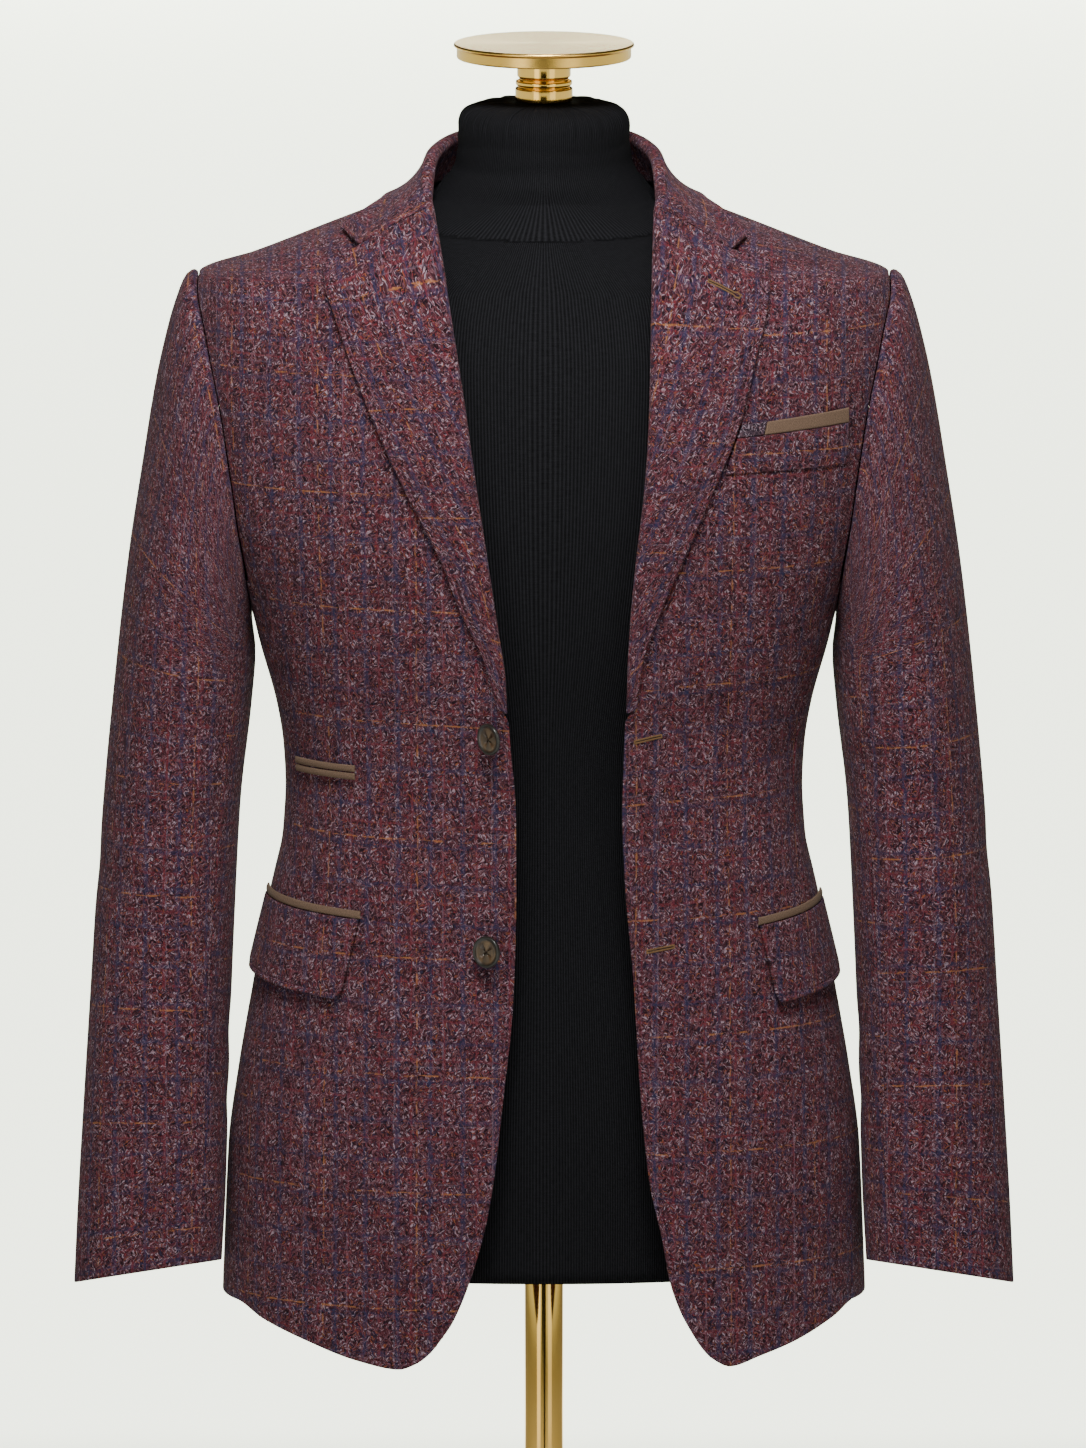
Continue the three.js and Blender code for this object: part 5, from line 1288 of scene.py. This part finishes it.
STEM = [(18.3, 1087.4), (18.3, 1095.6), (16.6, 1096.8), (18, 1098), (18, 1100.4), (15.4, 1101.6),
        (17.1, 1103.4), (17.1, 1114.3)]
stand = {
    "brass_foot": ("foot", polished_brass, 1.2, 192, [
        (0, 0), (148, 0), (150, 2), (150, 9), (147, 12), (24, 12), (24, 24), (22, 26), (0, 26)]),
    "brass_pole": ("pole", polished_brass, 0.6, 96, [(0, 26.3), (12.4, 26.3), (12.4, 339.7), (0, 339.7)]),
    "brass_stem": ("cap_stem", polished_brass, 0.6, 96, [(0, 1087.4), *STEM, (0, 1114.3)]),
    "brass_cap": ("cap_disc", turned_brass, 0.5, 192, [
        (0, 1114.7), (54.8, 1114.7), (55.6, 1115.5), (55.6, 1121.8), (57.5, 1122.6), (57.5, 1123.8),
        (56.7, 1124.6), (0, 1124.6)]),
}
for name, (node, material, radius, segments, profile) in stand.items():
    piece = lathe(name, ease(profile, radius), segments)
    piece.data.materials.append(material)
    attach(piece, "root")
    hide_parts(node)
print("stand:", ", ".join(stand))

# %% [markdown]
# ## Buttons
# A horn button is turned with a rim and a shallow dish, and four holes are drilled through it. Thread
# crosses over the holes and is wound into a shank behind.

# %% Turn, drill and sew the buttons
BUTTON = {"thick": 3.4, "shank": 2.4, "rise": 5.2, "foot": 0.6, "holes": 1.25,
          "hole_radius": 0.6}
BUTTONS = {"upper": (28, 696.3, 24), "lower": (31.5, 557.5, 19)}
FACE = BUTTON["rise"] + BUTTON["thick"]
HORN_PROFILE = [(0, BUTTON["rise"]), (8.4, BUTTON["rise"]), (10.4, 6.9), (9.9, FACE), (8.7, FACE),
                (7.4, FACE - 0.95), (0, FACE - 1.1)]


def front_normal(front, x, z):
    x, z = np.array([x, x, x + 1, x - 1.0]), np.array([z + 1, z - 1.0, z, z])
    p = on_front(front, x, z, 0)
    return unit(np.cross(p[2] - p[3], p[0] - p[1]))


def drilled(name):
    button = lathe(name, ease(HORN_PROFILE, 0.45), 72)
    for dx in (-1, 1):
        for dy in (-1, 1):
            bpy.ops.mesh.primitive_cylinder_add(
                vertices=20, radius=BUTTON["hole_radius"] * MM, depth=14 * MM,
                location=(dx * BUTTON["holes"] * MM, dy * BUTTON["holes"] * MM, 7 * MM))
            drill = bpy.context.object
            cut = button.modifiers.new("hole", "BOOLEAN")
            cut.operation, cut.object, cut.solver = "DIFFERENCE", drill, "EXACT"
            view = bpy.context.evaluated_depsgraph_get()
            mesh = bpy.data.meshes.new_from_object(button.evaluated_get(view))
            button.modifiers.clear()
            button.data = mesh
            bpy.data.objects.remove(drill)
    return button


def rope(start, end, rise, radius, points_count=14, sides=8):
    """A strand from start to end that bows upwards, as points and faces in millimetres."""
    t = np.linspace(0, 1, points_count)
    line = mix(np.array(start, float), np.array(end, float), t[:, None])
    line[:, 2] += rise * np.sin(np.pi * t) ** 0.6
    along = unit(np.gradient(line, axis=0))
    side_way = unit(np.cross(along, [0, 0, 1.0]))
    up = np.cross(side_way, along)
    spin = np.arange(sides) * 2 * math.pi / sides
    rings = line[:, None] + radius * (np.cos(spin)[None, :, None] * side_way[:, None] +
                                      np.sin(spin)[None, :, None] * up[:, None])
    points = np.concatenate([rings.reshape(-1, 3), [line[0], line[-1]]])
    return points, tube_faces(points_count, sides, flipped=True)


def thread_of_button(name):
    """The cross of thread over the holes and the wound shank, as one mesh of closed strands."""
    points, faces, count = [], [], 0
    h, top = BUTTON["holes"], FACE - 1.1
    for a, b, level in (((-h, -h), (h, h), 0.5), ((-h, h), (h, -h), 0.85)):
        for offset in (-0.3, 0.3):
            shift = np.array([offset, -offset * np.sign(b[1] - a[1]) * np.sign(b[0] - a[0]), 0]) * 0.7
            made = rope(np.array([*a, top - 1.6]) + shift, np.array([*b, top - 1.6]) + shift, 1.6 + level, 0.22)
            points.append(made[0])
            faces += [[int(v) + count for v in f] for f in made[1]]
            count += len(made[0])
    strand, long_way, short_way = 0.36, 24, 8
    spin = np.linspace(0, 2 * math.pi, long_way + 1)[:-1]
    section = np.arange(short_way) * math.pi / 4
    index = np.arange(long_way * short_way).reshape(long_way, short_way)
    index = np.concatenate([index, index[:1]])
    index = np.concatenate([index, index[:, :1]], axis=1)
    for k, height in enumerate(np.arange(0.35, 5.0, 0.62)):
        from_axis = (1.85 + 0.2 * math.sin(k * 1.7) + strand * np.cos(section))[None, :]
        wound = np.stack([from_axis * np.cos(spin)[:, None], from_axis * np.sin(spin)[:, None],
                          np.broadcast_to(height + strand * np.sin(section), (long_way, short_way))], axis=-1)
        points.append(wound.reshape(-1, 3))
        faces += [[int(v) + count for v in f] for f in quads_of(index, flipped=True)]
        count += long_way * short_way
    return mesh_piece(name, np.concatenate(points), faces, np.concatenate(points)[:, :2])


def place_on_front(piece, x, z, lean):
    """Moves a button from its own axis to its place on the right front."""
    front = fronts[RIGHT]
    out = front_normal(front, x, z)
    foot = on_front(front, np.array([x]), np.array([z]), 0)[0] + out * BUTTON["foot"]
    c, s = math.cos(lean * DEGREE), math.sin(lean * DEGREE)
    out = np.array([c * out[0] - s * out[1], s * out[0] + c * out[1], out[2]])
    foot = foot + out * BUTTON["shank"] * s
    across = unit(np.cross([0, 0, 1.0], out))
    turned = np.stack([across, np.cross(out, across), out])
    count = len(piece.data.vertices)
    co = np.empty(count * 3)
    piece.data.vertices.foreach_get("co", co)
    world = (co.reshape(-1, 3) @ turned + foot * MM) * [-1, 1, 1]
    piece.data.vertices.foreach_set("co", world.ravel())
    piece.data.flip_normals()
    piece.data.update()


for name, (x, z, lean) in BUTTONS.items():
    button, stitches = drilled(f"horn_button_{name}"), thread_of_button(f"button_thread_{name}")
    layer = button.data.uv_layers.get("cloth") or button.data.uv_layers.new(name="cloth")
    corner = np.empty(len(button.data.loops), int)
    button.data.loops.foreach_get("vertex_index", corner)
    co = np.empty(len(button.data.vertices) * 3)
    button.data.vertices.foreach_get("co", co)
    layer.data.foreach_set("uv", co.reshape(-1, 3)[corner][:, :2].ravel())
    button.data.materials.clear()
    button.data.materials.append(button_horn)
    stitches.data.materials.append(button_thread)
    for piece in (button, stitches):
        place_on_front(piece, x, z, lean)
        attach(piece, "root")
    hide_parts(f"button_{name}")
    print(button.name, len(button.data.polygons), "faces")

# %% [markdown]
# ## Stitches
# Pick stitches run along the free edges, one small bite of thread every three millimetres. Buttonholes are
# worked in close purl stitches. Both repeat along a line, so one Geometry Nodes tree makes them: it
# walks a line, puts a small bead of thread at every step and lays it along the line's own direction.

# %% A tree that sews along a line
def sewing_tree():
    tree = bpy.data.node_groups.new("sew_along", "GeometryNodeTree")
    made = {}
    for name, kind, default in (
        ("Line", "NodeSocketGeometry", None), ("Pitch", "NodeSocketFloat", 0.003),
        ("Length", "NodeSocketFloat", 0.002), ("Width", "NodeSocketFloat", 0.0006),
        ("Unevenness", "NodeSocketFloat", 0.15), ("Seed", "NodeSocketInt", 3),
        ("Thread", "NodeSocketMaterial", None),
    ):
        made[name] = tree.interface.new_socket(name, in_out="INPUT", socket_type=kind)
        if default is not None:
            made[name].default_value = default
    tree.interface.new_socket("Stitches", in_out="OUTPUT", socket_type="NodeSocketGeometry")
    nodes, links = tree.nodes, tree.links
    start, end = nodes.new("NodeGroupInput"), nodes.new("NodeGroupOutput")

    def add(kind, **settings):
        node = nodes.new(kind)
        for key, value in settings.items():
            setattr(node, key, value)
        return node

    curve, step = add("GeometryNodeMeshToCurve"), add("GeometryNodeResampleCurve")
    if hasattr(step, "mode"):
        step.mode = "LENGTH"
    else:
        step.inputs["Mode"].default_value = "Length"
    bead = add("GeometryNodeMeshUVSphere")
    bead.inputs["Segments"].default_value, bead.inputs["Rings"].default_value = 8, 6
    bead.inputs["Radius"].default_value = 0.5
    way = add("GeometryNodeInputNamedAttribute", data_type="FLOAT_VECTOR")
    way.inputs["Name"].default_value = "way"
    align = add("FunctionNodeAlignRotationToVector", axis="X")
    uneven = add("FunctionNodeRandomValue", data_type="FLOAT")
    low, high = add("ShaderNodeMath", operation="SUBTRACT"), add("ShaderNodeMath", operation="ADD")
    low.inputs[0].default_value = high.inputs[0].default_value = 1.0
    long = add("ShaderNodeMath", operation="MULTIPLY")
    size = add("ShaderNodeCombineXYZ")
    sew, real = add("GeometryNodeInstanceOnPoints"), add("GeometryNodeRealizeInstances")
    dye = add("GeometryNodeSetMaterial")
    value = [s for s in uneven.inputs if s.enabled]
    for a, b in (
        (start.outputs["Line"], curve.inputs["Mesh"]), (curve.outputs[0], step.inputs["Curve"]),
        (start.outputs["Pitch"], step.inputs["Length"]), (step.outputs[0], sew.inputs["Points"]),
        (bead.outputs["Mesh"], sew.inputs["Instance"]), (way.outputs[0], align.inputs["Vector"]),
        (align.outputs[0], sew.inputs["Rotation"]), (start.outputs["Unevenness"], low.inputs[1]),
        (start.outputs["Unevenness"], high.inputs[1]), (low.outputs[0], value[0]), (high.outputs[0], value[1]),
        (start.outputs["Seed"], next(s for s in uneven.inputs if s.name == "Seed")),
        (next(s for s in uneven.outputs if s.enabled), long.inputs[0]),
        (start.outputs["Length"], long.inputs[1]),
        (long.outputs[0], size.inputs["X"]), (start.outputs["Width"], size.inputs["Y"]),
        (start.outputs["Width"], size.inputs["Z"]), (size.outputs[0], sew.inputs["Scale"]),
        (sew.outputs[0], real.inputs[0]), (real.outputs[0], dye.inputs["Geometry"]),
        (start.outputs["Thread"], dye.inputs["Material"]), (dye.outputs[0], end.inputs[0]),
    ):
        links.new(a, b)
    return tree, {name: socket.identifier for name, socket in made.items()}


sew_along, sewing_inputs = sewing_tree()


def sew(name, lines, ways, material, slot, **values):
    """Sews along lines of points in millimetres. ways gives each point the direction its stitch lies in."""
    edges, count = [], 0
    for line in lines:
        edges += [(count + k, count + k + 1) for k in range(len(line) - 1)]
        count += len(line)
    mesh = bpy.data.meshes.new(name + "_line")
    mesh.from_pydata((np.concatenate(lines) * MM).tolist(), edges, [])
    way = mesh.attributes.new("way", "FLOAT_VECTOR", "POINT")
    way.data.foreach_set("vector", np.concatenate(ways).ravel())
    piece = bpy.data.objects.new(name, mesh)
    bpy.context.scene.collection.objects.link(piece)
    walk = piece.modifiers.new("sew", "NODES")
    walk.node_group = sew_along
    for key, value in {**values, "Thread": material}.items():
        walk[sewing_inputs[key]] = value
    done = bpy.data.meshes.new_from_object(piece.evaluated_get(bpy.context.evaluated_depsgraph_get()))
    piece.modifiers.clear()
    piece.data = done
    piece.data.name = name
    piece.data.polygons.foreach_set("use_smooth", [True] * len(piece.data.polygons))
    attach(piece, "root")
    print(f"{name}: {len(done.polygons)} faces, {sum(len(l) for l in lines)} points")
    return piece


with_pieces = {}
for k, (name, lines) in enumerate(stitch_lines.items()):
    ways = [unit(np.gradient(line, axis=0)) for line in lines]
    piece = sew(f"pick_stitches_{name[6:]}", lines, ways, dark_thread, "tweed",
                Pitch=0.0031, Length=0.0019, Width=0.00062, Unevenness=0.22, Seed=k)
    with_pieces[name] = [piece]

# %% Buttonholes
def buttonhole(name, centre_line, across, up, eye=0.0):
    """A worked buttonhole round a line: two rows of purl, a bar at one end, and near-black beads in the cut
    between that paint its shade.
    """
    off = (centre_line - centre_line[0]) @ across
    centre_line = centre_line - off[:, None] * across
    length = np.linalg.norm(np.diff(centre_line, axis=0), axis=-1).sum()
    t = np.linspace(0, 1, 60)
    place = np.concatenate([[0], np.cumsum(np.linalg.norm(np.diff(centre_line, axis=0), axis=-1))]) / length
    middle = np.stack([np.interp(t, place, centre_line[:, k]) for k in range(3)], axis=-1)
    bulge = 0.85 + eye * np.exp(-(((t - 0.93) / 0.07) ** 2))[:, None]
    lines, ways = [], []
    for sign in (1, -1):
        lines.append(middle + across * sign * bulge + up * 0.25)
        ways.append(np.broadcast_to(across * 1.0, middle.shape).copy())
    along = unit(middle[-1] - middle[0])
    ends = [(middle[0] - along * 0.5, 1.0), (middle[-1] + along * (0.5 + eye * 0.4), 1.0 + eye * 0.6)]
    for end, wide in ends:
        bar = np.linspace(-wide, wide, 8)[:, None] * across + end + up * 0.3
        lines.append(bar)
        ways.append(np.broadcast_to(along, bar.shape).copy())
    purl = sew(name, lines, ways, tan_thread, "trim",
               Pitch=0.00062, Length=0.00135, Width=0.0006, Unevenness=0.12, Seed=5)
    # Painted shade: near-black thread beads laid along the cut stand in for the shadow inside the slit.
    cut = sew(name + "_cut", [middle + up * 0.06], [np.broadcast_to(along, middle.shape).copy()],
              slit_shade, "trim", Pitch=0.0006, Length=0.0016, Width=0.0006, Unevenness=0.0, Seed=1)
    return [purl, cut]


# Near-black colour of the beads in a buttonhole's cut: painted shade of the slit.
slit_shade = thread("slit_shade", (22, 12, 14))


def on_left_front(start, end):
    x, z = np.linspace(start[0], end[0], 12), np.linspace(start[1], end[1], 12)
    line = on_front(fronts[LEFT], x, z, 0)
    up = front_normal(fronts[LEFT], float(x.mean()), float(z.mean()))
    along = unit(line[-1] - line[0])
    return line, unit(np.cross(up, along)), up


holes = []
for name, start, end in (("upper", (56.5, 692.6), (73.5, 694.6)), ("lower", (65.2, 556.2), (82, 558.6))):
    line, across, up = on_left_front(start, end)
    holes += buttonhole(f"buttonhole_{name}", line, across, up)
with_pieces["tweed_front_left"] += holes
row, share = np.linspace(0.9175, 0.9053, 12), np.linspace(0.6689, 0.8314, 12)
line = lapel_points(fronts[LEFT], row, share)
beside = lapel_points(fronts[LEFT], row + 0.002, share)
along = unit(line[-1] - line[0])
up = unit(np.cross(along, (beside - line).mean(axis=0)))
with_pieces["tweed_lapel_left"] += buttonhole("buttonhole_lapel", line, unit(np.cross(up, along)), up, 0.9)

# %% Seam stitches down the forearms
for side, front in fronts.items():
    run = np.linspace(14, SLEEVE_LENGTH - 6, 220)
    line = sleeve_points(run, np.full_like(run, FOREARM_SEAM - 2.6))
    beside = sleeve_points(run, np.full_like(run, FOREARM_SEAM - 1.6)) - line
    out = unit(np.cross(beside, np.gradient(line, axis=0)))
    line = (line + out * 0.05) * [side, 1, 1]
    name = f"tweed_sleeve_top_{front['name']}"
    with_pieces.setdefault(name, []).append(
        sew(f"seam_stitches_{front['name']}", [line], [unit(np.gradient(line, axis=0))], seam_thread, "tweed",
            Pitch=0.0034, Length=0.0016, Width=0.0005, Unevenness=0.2, Seed=11 + side))

# %% [markdown]
# ## Floor, light and camera
# A plain pale floor runs far back, so that it fills the view behind the blazer. A soft light hangs high in
# front, so lapels and flaps throw a short shadow downwards and outwards, and two weaker, tall ones stand
# at both front sides. Upright brass mirrors what stands low in front of it: two strips of light that reach
# the floor, the pale floor farther off, and two dark cards in the middle, all out of the picture. They
# give it bands of light beside a dark one. The camera is far away with a long lens, a little above.

# %% Stage
def card(name, corners, material):
    mesh = bpy.data.meshes.new(name)
    mesh.from_pydata(corners, [], [list(range(len(corners)))])
    piece = bpy.data.objects.new(name, mesh)
    bpy.context.scene.collection.objects.link(piece)
    mesh.materials.append(material)
    piece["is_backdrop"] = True
    return piece


def floor_material():
    """Pale paint. Far behind the stand the floor is lit from within, as a white studio sweep is lit apart."""
    shader = Shader("pale_floor")
    place = shader.object_mm()
    x, y, z = shader.axes(place)
    spot = shader.noise(place, 0.002, 1.0, "3D")
    shade = shader.blend(spot, linear((234, 236, 231)), linear((238, 240, 235)))
    behind = y.step(850, 1250) * (1 - x.size().step(620, 1150))
    around = (x * x + y * y).math("SQRT").step(2600, 4200) * FLOOR_AROUND
    lit = shader.blend(behind + around * (1 - behind), (0, 0, 0, 1), GLOW_COLOUR)
    return shader.set(Base_Color=shade, Roughness=0.9, Emission_Color=lit, Emission_Strength=FLOOR_GLOW)


dark_shader = Shader("dark_paper")
dark_paper = dark_shader.set(
    Base_Color=dark_shader.blend(dark_shader.noise(dark_shader.object_mm(), 0.01, 1.0, "3D"),
                                 linear((12, 12, 13)), linear((18, 18, 19))), Roughness=0.9)
FLOOR_GLOW, FLOOR_AROUND, SIDES, TOP, STRIP, AMBIENT = 3.5, 0.3, 3.5, 50.0, 3.6, 0.06
GLOW_COLOUR = (0.94, 1.0, 0.82, 1)
card("floor", [(-40, -30, 0), (40, -30, 0), (40, 60, 0), (-40, 60, 0)], floor_material())
card("sweep", [(-1.2, 9, 0), (1.2, 9, 0), (1.2, 9, 4.5), (-1.2, 9, 4.5)], floor_material())
world = bpy.data.worlds.new("studio")
world.use_nodes = True
backdrop = next(n for n in world.node_tree.nodes if n.type == "BACKGROUND")
backdrop.inputs["Color"].default_value = (0.95, 0.96, 0.94, 1)
backdrop.inputs["Strength"].default_value = AMBIENT
bpy.context.scene.world = world


def soft_light(name, place, target, size, power):
    light = bpy.data.lights.new(name, "AREA")
    light.shape, light.size, light.size_y, light.energy = "RECTANGLE", size[0], size[1], power
    lamp = bpy.data.objects.new(name, light)
    lamp.location = place
    away = np.array(place, float) - np.array(target, float)
    flat_reach = math.hypot(away[0], away[1])
    lamp.rotation_euler = (math.atan2(flat_reach, away[2]), 0, math.atan2(away[0], -away[1]))
    lamp.visible_camera = False
    bpy.context.scene.collection.objects.link(lamp)
    return lamp


soft_light("side_right", (-1.45, -1.55, 1.75), (0, 0, 0.85), (0.5, 1.1), SIDES)
soft_light("side_left", (1.45, -1.55, 1.75), (0, 0, 0.85), (0.5, 1.1), SIDES * 0.94)
soft_light("top", (0, -1.1, 2.28), (0, 0, 1.0), (0.7, 0.4), TOP)
soft_light("strip_right", (-0.72, -1.2, 0.8), (0, 0, 0.8), (0.5, 1.6), STRIP)
soft_light("strip_left", (0.85, -1.2, 0.8), (0, 0, 0.8), (0.6, 1.6), STRIP * 0.7)
for name, y, left, right, high in (
    ("low_card", -1.15, -0.03, 0.17, 0.36), ("far_card", -3.0, -0.72, 0.62, 0.74),
):
    paper = card(name, [(left, y, 0), (right, y, 0), (right, y, high), (left, y, high)], dark_paper)
    paper.visible_camera = False

# %% Camera
lens = bpy.data.cameras.new("camera")
lens.sensor_fit, lens.sensor_width, lens.lens, lens.clip_end = "AUTO", 36, 661.4, 200
camera = bpy.data.objects.new("camera", lens)
AIM, DISTANCE, TILT = np.array([-0.0006, 0, 0.6855]), 17.0, 9 * DEGREE
camera.location = AIM + DISTANCE * np.array([0, -math.cos(TILT), math.sin(TILT)])
camera.rotation_euler = (math.pi / 2 - TILT, 0, 0)
bpy.context.scene.collection.objects.link(camera)
bpy.context.scene.camera = camera

# %% Measure the box and print it
low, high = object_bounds()
print("box", [round(float(v), 4) for v in (*low, *high)])
